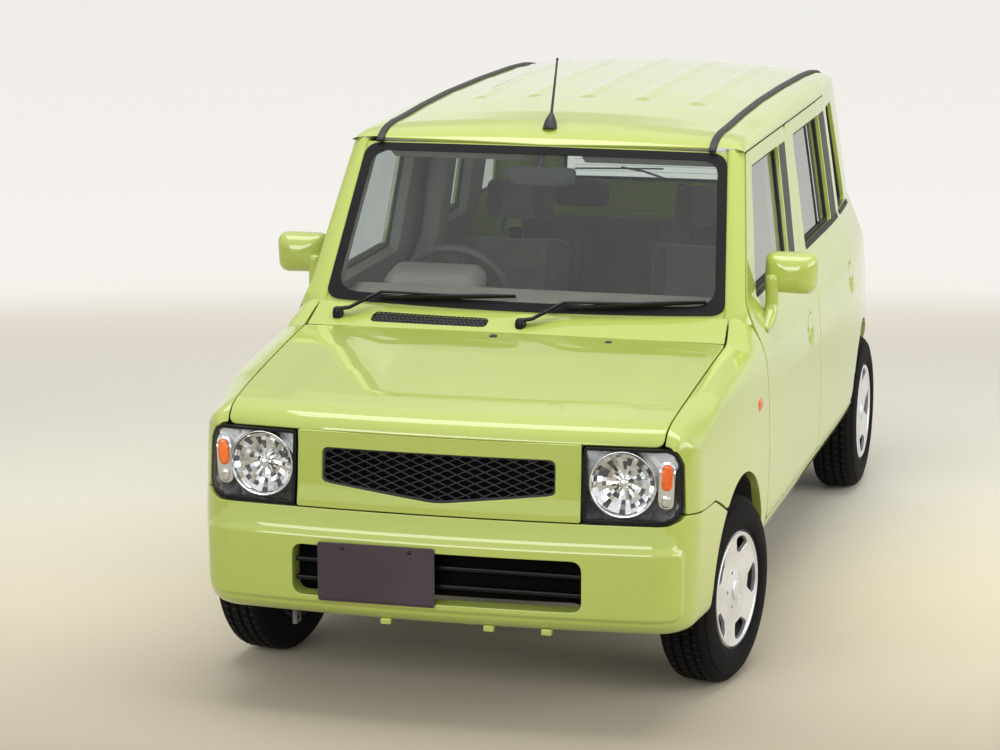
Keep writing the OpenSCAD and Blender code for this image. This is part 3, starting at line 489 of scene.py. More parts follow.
def block(size, r=4, seg=2):
    """A box with rounded edges, centred."""
    bm = bmesh.new()
    bmesh.ops.create_cube(bm, size=1)
    bmesh.ops.scale(bm, vec=size, verts=bm.verts)
    bmesh.ops.bevel(bm, geom=bm.edges[:], offset=min(r, min(size) * 0.49), segments=seg, profile=0.5,
                    affect="EDGES")
    bmesh.ops.recalc_face_normals(bm, faces=bm.faces)
    s = Shape([v.co for v in bm.verts], [[v.index for v in q.verts] for q in bm.faces])
    bm.free()
    return s


print("helpers ready")

# %% [markdown]
# Outlines are drawn flat, with their corners rounded, and laid on a surface. The inside is filled with
# points and cut into triangles that respect the edge and any window. A pressed edge turns in with a small
# radius and ends in a flange, as on the real sheet, which gives the shut lines their dark gap.

# %% Panels from outlines
def rounded(points, r=10, n=6):
    """An outline with its corners rounded. A third number on a point is its own radius."""
    p = [np.array(q[:2], float) for q in points]
    out = []
    for i, q in enumerate(points):
        a, b, c = p[i - 1], p[i], p[(i + 1) % len(p)]
        rad = q[2] if len(q) > 2 else r
        da, dc = np.linalg.norm(a - b), np.linalg.norm(c - b)
        d1, d2 = (a - b) / da, (c - b) / dc
        ang = math.acos(max(-1, min(1, d1.dot(d2))))
        if rad <= 0 or ang > 3.0:
            out.append(b)
            continue
        t = min(rad / math.tan(ang / 2), 0.48 * da, 0.48 * dc)
        out += [(1 - s) ** 2 * (b + d1 * t) + 2 * s * (1 - s) * b + s * s * (b + d2 * t)
                for s in np.linspace(0, 1, n + 1)]
    return np.array(out)


def inset(loop, d):
    """The same outline, drawn d smaller all round."""
    p = np.asarray(loop, float)
    area = 0.5 * np.sum(p[:, 0] * np.roll(p[:, 1], -1) - np.roll(p[:, 0], -1) * p[:, 1])
    e = np.roll(p, -1, 0) - p
    e /= np.maximum(np.linalg.norm(e, axis=1, keepdims=True), 1e-9)
    n2 = np.stack([-e[:, 1], e[:, 0]], 1) * np.sign(area)
    n1 = np.roll(n2, 1, 0)
    k = np.maximum(1 + (n1 * n2).sum(1, keepdims=True), 0.35)
    q = p + (n1 + n2) / k * d
    turned_back = ((np.roll(q, -1, 0) - q) * e).sum(1) <= 0
    if turned_back.any() and len(p) > 8:
        return inset(p[~np.roll(turned_back, 1)], d)
    return q


def spaced(loop, step):
    out = []
    for a, b in zip(loop, np.roll(loop, -1, 0)):
        n = max(1, int(np.linalg.norm(b - a) / step + 0.5))
        out += [a + (b - a) * k / n for k in range(n)]
    return np.array(out)


def inside(pts, loop):
    x, y = pts[:, 0], pts[:, 1]
    hit = np.zeros(len(pts), bool)
    for a, b in zip(loop, np.roll(loop, -1, 0)):
        cross = (a[1] > y) != (b[1] > y)
        with np.errstate(divide="ignore", invalid="ignore"):
            xs = a[0] + (y - a[1]) / (b[1] - a[1]) * (b[0] - a[0])
        hit ^= cross & (x < xs)
    return hit


def triangles(outline, holes, step, hole_step):
    loops = [spaced(np.asarray(outline, float), step)]
    loops += [spaced(np.asarray(h, float), hole_step) for h in holes]
    edges, k = [], 0
    for q in loops:
        edges += [(k + i, k + (i + 1) % len(q)) for i in range(len(q))]
        k += len(q)
    ring = np.vstack(loops)
    lo, hi = loops[0].min(0), loops[0].max(0)
    lines = np.arange(lo[1] + step / 2, hi[1], step)
    grid = np.array([(x + (j % 2) * step / 2, y) for j, y in enumerate(lines)
                     for x in np.arange(lo[0] + step / 4, hi[0], step)]).reshape(-1, 2)
    keep = inside(grid, loops[0])
    for h in loops[1:]:
        keep &= ~inside(grid, h)
    grid = grid[keep]
    if len(grid):
        near = np.array([np.min(np.hypot(*(ring - g).T)) for g in grid])
        grid = grid[near > 0.5 * step]
    uv = np.vstack([ring, grid])
    out = delaunay_2d_cdt([Vector(q) for q in uv], edges, [], 0, 1e-3)
    uv = np.array([(q.x, q.y) for q in out[0]])
    middle = uv[np.array(out[2])].mean(1)
    keep = inside(middle, loops[0])
    for h in loops[1:]:
        keep &= ~inside(middle, h)
    faces = []
    for q in np.array(out[2])[keep].tolist():
        a, b, c = uv[q[0]], uv[q[1]], uv[q[2]]
        turned = (b[0] - a[0]) * (c[1] - a[1]) - (b[1] - a[1]) * (c[0] - a[0])
        faces.append(tuple(q) if turned > 0 else tuple(q)[::-1])
    return uv, faces


def surface_normals(surf, uv):
    h = getattr(surf, "h", 0.8)
    du = surf(uv + [h, 0]) - surf(uv - [h, 0])
    dv = surf(uv + [0, h]) - surf(uv - [0, h])
    n = np.cross(du, dv)
    return n / np.maximum(np.linalg.norm(n, axis=1, keepdims=True), 1e-9)


def border(faces):
    """Closed chains of edges that one face alone uses, in the faces' own direction."""
    used = {}
    for q in faces:
        for a, b in zip(q, q[1:] + q[:1]):
            used[(a, b)] = 1
    nxt = {a: b for a, b in used if (b, a) not in used}
    chains = []
    while nxt:
        a, b = nxt.popitem()
        chain = [a]
        while b != a:
            chain.append(b)
            b = nxt.pop(b)
        chains.append(chain)
    return chains


def panel(surf, outline, holes=(), step=24, roll=2.5, depth=14, hole_depth=None, hole_step=None, m=0):
    """A pressed sheet on a surface, with rolled edges and flanges at its outline and its holes."""
    uv, faces = triangles(outline, holes, step, hole_step or step * 0.6)
    p, n = surf(uv), surface_normals(surf, uv)
    v, nn, f = [p], [n], list(faces)
    count = len(p)
    for chain in border(faces):
        c = np.array(chain)
        loop = uv[c]
        hole = np.sum(loop[:, 0] * np.roll(loop[:, 1], -1) - np.roll(loop[:, 0], -1) * loop[:, 1]) < 0
        deep = hole_depth if hole and hole_depth is not None else depth
        q, nq = p[c], n[c]
        t = np.roll(q, -1, 0) - np.roll(q, 1, 0)
        t /= np.maximum(np.linalg.norm(t, axis=1, keepdims=True), 1e-9)
        out = np.cross(t, nq)
        last = c
        for a in (0.5, 1.05, 1.5708):
            v.append(q + out * roll * math.sin(a) - nq * roll * (1 - math.cos(a)))
            nn.append(out * math.sin(a) + nq * math.cos(a))
        v.append(q + out * roll - nq * max(deep, roll + 0.1))
        nn.append(out)
        for k in range(4):
            cur = np.arange(count, count + len(c))
            count += len(c)
            f += [(last[i], cur[i], cur[(i + 1) % len(c)], last[(i + 1) % len(c)]) for i in range(len(c))]
            last = cur
    return Shape(np.vstack(v), f, np.vstack(nn), m)


def pane(surf, outline, thick=4.0, step=30):
    """A sheet of glass, closed all round."""
    uv, faces = triangles(outline, (), step, step)
    p, n = surf(uv), surface_normals(surf, uv)
    k = len(p)
    f = list(faces) + [tuple(i + k for i in q)[::-1] for q in faces]
    for chain in border(faces):
        f += [(b, a, a + k, b + k) for a, b in zip(chain, chain[1:] + chain[:1])]
    return Shape(np.vstack([p, p - n * thick]), f, np.vstack([n, -n]))


def below(surf, d):
    """The same surface, set in by d along its normal."""
    def inner(uv):
        return surf(uv) - surface_normals(surf, uv) * d
    inner.h = getattr(surf, "h", 0.8)
    return inner


print("panels ready")

# %% [markdown]
# The body follows a few short tables, close to those of the solids: how the side leans in with height,
# how each end bows in plan, and how the roof and bonnet run along the car. Here their corners are rounded,
# because a stamping has none. Every panel of the body then lies on one of these surfaces.

# %% Body surfaces
def curve(table, width):
    """A table of (place, value) whose corners are rounded over a width."""
    t = np.array(table, float)
    first, last = t[0] - (t[1] - t[0]) * 3, t[-1] + (t[-1] - t[-2]) * 3
    t = np.vstack([first, t, last])
    x = np.arange(t[0, 0], t[-1, 0], width / 30)
    y = np.interp(x, t[:, 0], t[:, 1])
    w = np.hanning(33)
    y = np.convolve(np.pad(y, 16, mode="edge"), w / w.sum(), "valid")
    return lambda v: np.interp(v, x, y)


def mix(a, b, t):
    return a + (b - a) * t


W2, GAP = 737.5, 5
FRONT, REAR, DOOR_TOP = -1655, 1655, 1411
FRONT_AXLE, REAR_AXLE, ARCH_Z, ARCH_R = -1073, 1287, 292, 305
side_lean = curve([(300, -48), (345, -16), (400, -6), (560, 0), (740, -4), (850, -12), (888, -21),
                   (1018, -75), (1200, -101), (1366, -126), (1411, -133), (1437, -143), (1458, -168),
                   (1468, -222)], 26)
front_bow = curve([(577, 13), (800, -6)], 40)
bumper_bow = curve([(268, -34), (285, -8), (310, 16), (330, 30), (380, 36), (470, 36), (505, 34),
                    (520, 26), (545, 18), (577, 13)], 16)
rear_lean = curve([(575, 5), (700, 0), (890, -25), (1018, -62), (1200, -105), (1366, -150), (1430, -175),
                   (1455, -195)], 60)
rear_bumper_bow = curve([(290, -14), (310, 16), (340, 36), (480, 42), (545, 38), (575, 20)], 24)
roof_run = curve([(-470, 1420), (-455, 1434), (-430, 1449), (-390, 1463), (-330, 1476), (-200, 1489),
                  (0, 1498), (300, 1505), (700, 1504), (1100, 1497), (1300, 1488), (1400, 1475),
                  (1446, 1463), (1476, 1449)], 40)
roof_fall = curve([(-470, 4), (-330, 20), (-200, 30), (1300, 33), (1446, 30), (1476, 22)], 60)
bonnet_run = curve([(0, 791), (8, 811), (30, 831), (75, 846), (155, 858), (355, 881), (555, 902),
                    (803, 924)], 24)


def half_width(y):
    return W2 - 5.8e-5 * np.maximum(0, -700 - y) ** 2 - 6.0e-5 * np.maximum(0, y - 700) ** 2


def end_path(s, y0, bow, xc, r):
    a0, a1 = math.atan(2 * bow / xc), math.radians(85)
    arc = r * (a1 - a0)
    px, py = xc - r * math.sin(a0), y0 + bow + r * math.cos(a0)
    a = a0 + np.clip(s - xc, 0, arc) / r
    xe, ye = px + r * math.sin(a1), py - r * math.cos(a1)
    k = (W2 - xe) / (ye + 700) ** 2
    yy = ye + s - xc - arc
    back = np.maximum(0, -700 - yy)
    m1, m3 = 2 * bow * s / xc / xc, 2 * k * back
    h1, h3 = np.sqrt(1 + m1 * m1), np.sqrt(1 + m3 * m3)
    c1, c2 = s <= xc, s <= xc + arc
    return (np.where(c1, s, np.where(c2, px + r * np.sin(a), W2 - k * back ** 2)),
            np.where(c1, y0 + bow * (s / xc) ** 2, np.where(c2, py - r * np.cos(a), yy)),
            np.where(c1, m1 / h1, np.where(c2, np.sin(a), 1 / h3)),
            np.where(c1, -1 / h1, np.where(c2, -np.cos(a), -m3 / h3)))


def front_path(s):
    x, y, nx, ny = end_path(np.abs(s), FRONT, 32, 585, 130)
    return np.sign(s + 1e-9) * x, y, np.sign(s + 1e-9) * nx, ny


def rear_path(s):
    x, y, nx, ny = end_path(np.abs(s), -REAR, 28, 520, 200)
    g = -np.sign(s + 1e-9)
    return g * x, -y, g * nx, -ny


def wrap(path, lean):
    """A surface that follows an end of the car in plan and a table in height."""
    def surf(uv):
        x, y, nx, ny = path(uv[:, 0])
        w = ny ** 2
        o = lean(uv[:, 1]) * w + side_lean(uv[:, 1]) * (1 - w)
        return np.stack([x + nx * o, y + ny * o, uv[:, 1]], 1)
    return surf


def side(uv):
    return np.stack([half_width(uv[:, 0]) + side_lean(uv[:, 1]), uv[:, 0], uv[:, 1]], 1)


front_face, bumper_face = wrap(front_path, front_bow), wrap(front_path, bumper_bow)
rear_wrap, rear_bumper_face = wrap(rear_path, rear_lean), wrap(rear_path, rear_bumper_bow)
rear_s = np.linspace(-1700, -521, 2400)
rear_y_of_s = rear_path(rear_s)[1]


def rear_place(y):
    """How far round the rear path a place along the side lies."""
    return np.interp(y, rear_y_of_s, rear_s)


def roof_z(x, y):
    return roof_run(y) - roof_fall(y) * (x / 515) ** 2


def bead(y, y0, y1):
    """1 between two places along the car, with soft ends."""
    a, b = np.clip((y - y0) / 45, 0, 1), np.clip((y1 - y) / 45, 0, 1)
    return a * a * (3 - 2 * a) * b * b * (3 - 2 * b)


def roof(uv):
    x, y = uv[:, 0], uv[:, 1]
    rise = sum(np.clip(1 - np.abs(x - c) / 34, 0, 1) for c in (-350, -175, 0, 175, 350))
    rise = rise * rise * (3 - 2 * rise)
    return np.stack([x, y, roof_z(x, y) + 5.5 * rise * bead(y, 60, 1300)], 1)


def bonnet_skin(uv):
    """u across in millimetres at the nose, v from 0 at the lip to 1000 at the rear edge."""
    u, v = uv[:, 0] / 609, uv[:, 1] / 1000
    y0 = FRONT + 63 * u * u
    y = mix(y0, -852, v * v * 0.5 + v * 0.5)
    crown = np.clip((0.86 - np.abs(u)) / 0.16, 0, 1)
    crown = crown * crown * (3 - 2 * crown) * np.clip((v - 0.06) / 0.3, 0, 1)
    crown = crown * np.clip((1.06 - v) / 0.25, 0, 1)
    return np.stack([u * mix(609, 630, v), y, bonnet_run(y - y0) - mix(8, -2, v) * u * u + 4 * crown], 1)


def screen(uv):
    """The windscreen: u from -1000 to 1000 across, v from 0 at the cowl to 1000 at the roof."""
    u, v = uv[:, 0] / 1000, uv[:, 1] / 1000
    return np.stack([u * mix(609, 561, v), mix(-756, -470, v) + mix(20, 15, v) * u * u,
                     mix(967, 1419, v) + mix(12, -5, v) * u * u], 1)


print("roof", round(float(roof_z(0.0, 300.0)), 1), "half width", float(half_width(0.0)))

# %% [markdown]
# The doors are cut from the side surface. Each has a window with a sunk, rubber-edged pane, a pressed
# edge all round and a shut line to its neighbours. The front edge of the front door follows the pillar,
# so the opening is narrow at the top.

# %% Doors
front_door_line = rounded([(-700, 372, 46), (222.5, 372, 22), (222.5, 1411, 26), (-424, 1411, 34),
                           (-716, 985, 90), (-700, 780, 60)])
rear_door_line = rounded([(227.5, 372, 22), (960, 372, 30), (1003, 448, 60), (1008, 500, 40),
                          (1008, 1411, 30), (227.5, 1411, 26)])
front_window = rounded([(-556, 1018, 14), (24, 1018, 12), (80, 1366, 22), (-374, 1366, 26)])
rear_window = rounded([(318, 1018, 16), (848, 1018, 12), (850, 1366, 18), (342, 1366, 24)])
quarter_window = rounded([(1057, 1018, 16), (1295, 1018, 20), (1237, 1366, 26), (1057, 1366, 20)])
BODIES = {"front": ("door_front_left", "door_front_right"), "rear": ("door_rear_left", "door_rear_right")}


def handle_dish(y, z):
    """A dished bowl behind a pull handle, pressed into the skin."""
    def surf(uv):
        p = side(uv)
        d = np.hypot((uv[:, 0] - y) / 46, (uv[:, 1] - z) / 52)
        k = np.clip(1.08 - d, 0, 1)
        p[:, 0] -= 26 * np.minimum(1, k * 1.9) ** 2 * (3 - 2 * np.minimum(1, k * 1.9))
        return p
    return surf


def door(kind, line, window, handle_y, handle_z):
    skin = panel(handle_dish(handle_y, handle_z), inset(line, 2.5), [inset(window, -2.5)], 22, 2.5, 40, 20)
    for obj, n in zip(pair(f"door_{kind}_skin", skin, paint, BODIES[kind], slot="paint"), BODIES[kind]):
        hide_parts(n)
    seal = panel(below(side, 13), inset(window, 0.5), [inset(window, 9)], 16, 2, 10, 8)
    pair(f"door_{kind}_seal", seal, seal_rubber, BODIES[kind], slot="trim_black")
    glass = pane(below(side, 19), inset(window, 3), 4.0, 40)
    for obj, n in zip(pair(f"door_{kind}_glass", glass, side_glass, BODIES[kind], slot="glass"),
                      (f"glass_{kind}_left", f"glass_{kind}_right")):
        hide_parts(n)
    flap_line = rounded([(handle_y - 43, handle_z + 4, 8), (handle_y + 43, handle_z + 4, 8),
                         (handle_y + 36, handle_z + 44, 30), (handle_y - 36, handle_z + 44, 30)], n=8)
    flap = panel(below(side, -1.0), flap_line, (), 10, 3.5, 16)
    pair(f"door_{kind}_handle", flap, paint, BODIES[kind], slot="paint")
    return skin


front_skin = door("front", front_door_line, front_window, 55, 796)
rear_skin = door("rear", rear_door_line, rear_window, 900, 812)
print("door skins", len(front_skin.f), len(rear_skin.f))

# %% [markdown]
# Behind the windows the frames are masked with matt black tape, and the rear door glass is split by a
# slim bar. Tapes are thin strips just proud of the skin. A long black strip also seals the belt line.

# %% Black tapes and bars
def tape(points, lift=-0.8, r=5):
    return panel(below(side, lift), rounded(points, r), (), 30, 0.6, 2.5)


pair("door_front_tape", tape([(28, 1019), (122, 1019), (190, 1365), (84, 1365)]), trim, BODIES["front"],
     slot="trim_black")
pair("door_rear_tape", tape([(853, 1019), (974, 1019), (974, 1365), (855, 1365)]), trim, BODIES["rear"],
     slot="trim_black")
pair("door_rear_bar", tape([(690, 1014), (718, 1014), (718, 1372), (690, 1372)], 12, 2), seal_rubber,
     BODIES["rear"], slot="trim_black")
pair("door_front_belt", tape([(-560, 1006), (26, 1006), (26, 1019), (-554, 1019)], -2.2, 3), seal_rubber,
     BODIES["front"], slot="trim_black")
pair("door_rear_belt", tape([(312, 1004), (976, 1004), (976, 1019), (314, 1019)], -2.2, 3), seal_rubber,
     BODIES["rear"], slot="trim_black")
pair("quarter_belt", tape([(1046, 1004), (1296, 1004), (1296, 1018), (1048, 1018)], -2.2, 3), seal_rubber,
     slot="trim_black")
print("tapes done")

# %% [markdown]
# The rear quarter wraps from the door round the corner to the tailgate in one sheet. Its outline takes in
# the wheel arch, the bumper line and the tail lamp. It is drawn on the rear path, so the corner comes out
# as one smooth bend.

# %% Rear quarters
def arc_points(y, z, r, a0, a1, n=22):
    return [(y + r * math.cos(math.radians(a)), z + r * math.sin(math.radians(a)), 0)
            for a in np.linspace(a0, a1, n)]


S_END, LAMP_Y = -523, 1560
lamp_s = float(rear_place(LAMP_Y - 2))
arch_rear = arc_points(REAR_AXLE, ARCH_Z, ARCH_R, 69.2, 148, 26)
quarter_pts = [(1013, 1416, 30), (1013, 500, 30), (1009, 455, 10)]
quarter_pts += [(q[0], q[1], 0) for q in arch_rear[::-1]]
quarter_line = [(rear_place(y), z, r) for y, z, r in quarter_pts]
quarter_line += [(S_END, 577, 3), (S_END, 598, 3), (lamp_s, 598, 16), (lamp_s, 832, 16)]
quarter_line += [(S_END, 832, 3), (S_END, 1416, 8)]
quarter_hole = np.array([(rear_place(y), z) for y, z in quarter_window])
quarter_skin = panel(rear_wrap, inset(rounded(quarter_line, 4), 2.2), [inset(quarter_hole, -2.2)], 22, 2.2,
                     24, 20)
pair("rear_quarter_skin", quarter_skin, paint, slot="paint", replaces=("rear_quarters",))
pair("quarter_seal",
     panel(below(rear_wrap, 13), inset(quarter_hole, 0.5), [inset(quarter_hole, 10)], 16, 2, 10, 8),
     seal_rubber, slot="trim_black")
quarter_glass = pane(below(rear_wrap, 19), inset(quarter_hole, 3), 4.0, 40)
pair("quarter_glass", quarter_glass, side_glass, slot="glass", replaces=("fixed_glass",))
print("quarter", len(quarter_skin.f))

# %% [markdown]
# Roof, roof rails and pillars. The roof is one pressing with five long beads, met at each side by a black
# drip strip. The rail curves from the strip down to the tops of the doors. The pillar beside the
# windscreen is a narrow face between the glass and the door.

# %% Roof, rails and pillars
roof_line = rounded([(-505, -452, 6), (0, -466, 400), (505, -452, 6), (505, 1474, 20), (-505, 1474, 20)])
roof_skin = panel(roof, roof_line, (), 20, 3, 26)
lip = roof_skin.v[:, 1] > 1460
roof_skin.v[lip, 2] = np.maximum(roof_skin.v[lip, 2], roof_z(roof_skin.v[lip, 0], roof_skin.v[lip, 1]) - 8)
piece("roof_skin", roof_skin, paint, slot="paint", replaces=("roof_panel",))
ys = np.concatenate([np.linspace(-452, -300, 24), np.linspace(-290, 1380, 60), np.linspace(1390, 1472, 12)])
tt = np.linspace(0, 1, 18)
corner = rear_wrap(np.stack([np.linspace(-1100, -517, 300), np.full(300, DOOR_TOP + GAP)], 1))


def rail_pt(y, t):
    x0, z0, z1 = half_width(y) + side_lean(DOOR_TOP), DOOR_TOP + GAP, roof_z(515.0, y)
    if y > 1100:
        x0 = float(np.interp(y, corner[:, 1], corner[:, 0]))
    return mix(x0, 513, t ** 1.7), y, mix(z0, z1, 1 - (1 - t) ** 2)


rail = rows([[rail_pt(y, t) for y in ys] for t in np.concatenate([[0], tt])])
rail.v[: len(ys)] -= (14, 0, 0)
rail.n = face_normals(rail.v, rail.f)
pair("roof_rail_skin", rail, paint, slot="paint", replaces=("roof_rails",))
strip_line = [(511, y, float(roof_z(511.0, y)) + 2.0)
              for y in np.concatenate([np.linspace(-470, -300, 16), np.linspace(-280, 1460, 40)])]
strip = sweep(strip_line, 1.0, section=[(-11, 4), (-11, -3), (-8, -6), (8, -6), (11, -3), (11, 4)])
pair("roof_strip", strip, trim, slot="trim_black")


def door_edge(z):
    return np.where(z < 780, -700,
                    np.where(z < 985, mix(-700, -716, (z - 780) / 205), mix(-716, -424, (z - 985) / 426)))


def pillar_grid():
    out = []
    for z in np.linspace(955, 1424, 38):
        ex, ey = mix(612, 563, (z - 979) / 436), mix(-736, -455, (z - 979) / 436)
        yd = float(door_edge(z)) - 6
        xd = float(half_width(yd) + side_lean(z))
        line = np.array([(ex - 14, ey + 8), (ex - 2, ey - 5), (mix(ex, xd, 0.3), mix(ey, yd, 0.3) - 10),
                         (mix(ex, xd, 0.65), mix(ey, yd, 0.65) - 9), (xd - 1, yd - 2), (xd - 16, yd + 3)])
        k = np.linspace(0, 5, 21)
        xy = np.stack([np.interp(k, range(6), line[:, i]) for i in (0, 1)], 1)
        xy[1:-1] = (xy[:-2] + 2 * xy[1:-1] + xy[2:]) / 4
        xy[1:-1] = (xy[:-2] + 2 * xy[1:-1] + xy[2:]) / 4
        out.append([(x, y, z) for x, y in xy])
    return out


pillar = rows(pillar_grid())
pair("front_pillar_skin", pillar, paint, slot="paint", replaces=("front_pillars",))
print("roof", len(roof_skin.f), "rail", len(rail.f))

# %% [markdown]
# The front fender starts flat at the door, turns over a soft crease and runs in to the bonnet's edge. Its
# section is drawn for many places along the front path, rounded, and kept as a fine sheet of points that
# the panel maker reads. The bonnet's own edge gives the line where the two meet.

# %% Fenders
def sheet(us, vs, grid):
    """A surface read from a fine grid of points."""
    def surf(uv):
        a = np.clip(np.interp(uv[:, 0], us, np.arange(len(us))), 0, len(us) - 1.001)
        b = np.clip(np.interp(uv[:, 1], vs, np.arange(len(vs))), 0, len(vs) - 1.001)
        i, j = a.astype(int), b.astype(int)
        fa, fb = (a - i)[:, None], (b - j)[:, None]
        return ((grid[i, j] * (1 - fa) + grid[i + 1, j] * fa) * (1 - fb)
                + (grid[i, j + 1] * (1 - fa) + grid[i + 1, j + 1] * fa) * fb)
    surf.h = 2.5
    return surf


lip = bonnet_skin(np.stack([np.full(300, 609.0), np.linspace(0, 1000, 300)], 1))
fender_s = np.linspace(640, 1570, 620)
fender_v = np.linspace(300, 1000, 520)
fx, fy, fnx, fny = front_path(fender_s)
edge_y = np.where(fender_s < 770,
                  mix(-1592, np.interp(770, fender_s, fy), np.clip((fender_s - 640) / 130, 0, 1)), fy)
to_pillar = np.clip((edge_y + 852) / 116, 0, 1.16)
edge_x = np.interp(edge_y, lip[:, 1], lip[:, 0]) + 3 - 16 * to_pillar
edge_z = np.interp(edge_y, lip[:, 1], lip[:, 2]) + 57 * to_pillar
corner_dip = np.interp(fender_s, [640, 676, 720, 760, 830, 980], [6, 12, 32, 46, 34, 0])
crease_z = np.minimum(892 - 0.1 * np.maximum(0, -800 - fy), edge_z - 5) - corner_dip


def fender_row(k):
    z = mix(300, crease_z[k], (fender_v - 300) / 600)
    w = fny[k] ** 2
    o = np.where(z > 560, front_bow(z), 12) * w + side_lean(z) * (1 - w)
    p = np.stack([fx[k] + fnx[k] * o, fy[k] + fny[k] * o, z], 1)
    c = p[np.searchsorted(fender_v, 900)]
    e = np.array([edge_x[k], edge_y[k], edge_z[k]])
    lean_in = float(side_lean(985.0) - side_lean(892.0))
    free = np.array([*mix(c[:2], e[:2], 0.42), mix(c[2], e[2], 0.75) + 5])
    mid = mix(free, np.array([c[0] + 1.1 * lean_in, c[1], 992]), min(1, to_pillar[k]))
    t = np.clip((fender_v - 900) / 100, 0, 1)[:, None]
    p = np.where(fender_v[:, None] > 900, (1 - t) ** 2 * c + 2 * t * (1 - t) * mid + t * t * e, p)
    return smoothed(p, 26)


def smoothed(p, half):
    """A soft running mean along the first axis, with the ends left in place."""
    w = np.hanning(2 * half + 1)
    pad = np.pad(p, ((half, half), (0, 0)), mode="reflect", reflect_type="odd")
    return np.stack([np.convolve(pad[:, i], w / w.sum(), "valid") for i in range(p.shape[1])], 1)


fender_grid = np.array([fender_row(k) for k in range(len(fender_s))])
fender_grid = smoothed(fender_grid.reshape(len(fender_s), -1), 24).reshape(fender_grid.shape)
fender_face = sheet(fender_s, fender_v, fender_grid)


def fender_at(y, z):
    s = float(np.interp(y, fy, fender_s))
    return s, 300 + 600 * (z - 300) / (float(np.interp(s, fender_s, crease_z)) - 300)


lamp_edge = 667
lamp_side = float(np.interp(lamp_edge, fx, fender_s))
lamp_front_y = float(np.interp(lamp_side, fender_s, fy))
SPLIT_LINE = [(lamp_front_y, 606), (-1517, 600), (-1382, 597), (-1264, 545)]
fender_line = [(*fender_at(y, z), r) for (y, z), r in zip(SPLIT_LINE, (8, 60, 50, 0))]
fender_line += [(*fender_at(y, z), 0) for y, z, r in arc_points(FRONT_AXLE, ARCH_Z, ARCH_R, 124, 2, 36)]
fender_line += [(*fender_at(-705, 302.7), 6), (*fender_at(-705, 780), 60)]
fender_line += [(fender_at(-716, 880)[0], 900, 10), (fender_at(-721, 880)[0], 999, 8), (643, 999, 6)]
for x, z, r in ((641, 783, 6), (654, 771, 26), (lamp_edge, 742, 40), (lamp_edge, 640, 6)):
    s = float(np.interp(x, fx, fender_s))
    fender_line.append((s, fender_at(float(np.interp(s, fender_s, fy)), z)[1], r))
fender_skin = panel(fender_face, inset(rounded(fender_line, 4), 2.4), (), 16, 2.4, 26)
pair("fender_skin", fender_skin, paint, slot="paint", replaces=("fenders",))


def marker_face(uv):
    p = side(uv)
    p[:, 0] += 5 * np.clip(1 - (np.hypot((uv[:, 0] + 838) / 30, (uv[:, 1] - 747) / 17)) ** 4, 0, 1)
    return p


marker = panel(marker_face, rounded([(-868, 730), (-808, 730), (-808, 764), (-868, 764)], 12), (), 6, 1.5, 8)
pair("side_marker", marker, amber, slot="lamp")
print("fender", len(fender_skin.f))

# %% [markdown]
# The bonnet is one bowed pressing with a rounded lip over the lamps, and a slightly raised middle. Two
# washer jets stand on it. Behind it the cowl carries a honeycomb air inlet on the driver's side.

# %% Bonnet and cowl
bonnet_panel = panel(bonnet_skin, rounded([(-605, 5, 22), (605, 5, 22), (605, 995, 14), (-605, 995, 14)]),
                     (), 18, 3.2, 24)
piece("bonnet_skin", bonnet_panel, paint, "bonnet", "paint", ("bonnet",))
jet = lathe([(0.01, -6), (13, -6), (13, 0), (11, 4), (7, 7), (0.01, 8)], 20)
jets = jet.moved((-41, -905, 920)) + jet.moved((300, -905, 917))
piece("washer_jets", jets, trim, "bonnet", "trim_black")


def cowl(uv):
    u, t = uv[:, 0] / 612, uv[:, 1] / 1000
    return np.stack([uv[:, 0] * mix(1, 0.985, t), mix(-846, -760, t) + 18 * t * u * u,
                     mix(921, 962, t) + mix(-1, 11, t) * u * u], 1)


def cowl_loop(points, r):
    """An outline given in millimetres, along the cowl's own slope."""
    return np.array([(x, y * 10.5) for x, y in rounded(points, r)])


vent_hole = cowl_loop([(-445, 22), (-85, 22), (-85, 70), (-445, 70)], 20)
cowl_skin = panel(cowl, np.array([(-624, 20), (624, 20), (624, 985), (-624, 985)], float), [vent_hole], 40,
                  1.5, 12, 8, 12)
piece("cowl_skin", cowl_skin, paint, slot="paint", replaces=("cowl_panel",))
vent_bed = panel(below(cowl, 9), inset(vent_hole, -4), (), 40, 1, 4)
piece("cowl_vent_bed", vent_bed, seal_rubber, slot="trim_black")
print("bonnet", len(bonnet_panel.f))

# %% [markdown]
# Meshes and vents repeat one small cell many times, so Geometry Nodes sets it out. The tree takes the
# cell, its finish and a size as named inputs. The places come from a point mesh that lies on the surface
# and carries the turn of each cell. The result is turned into a plain mesh for the body that it rides on.

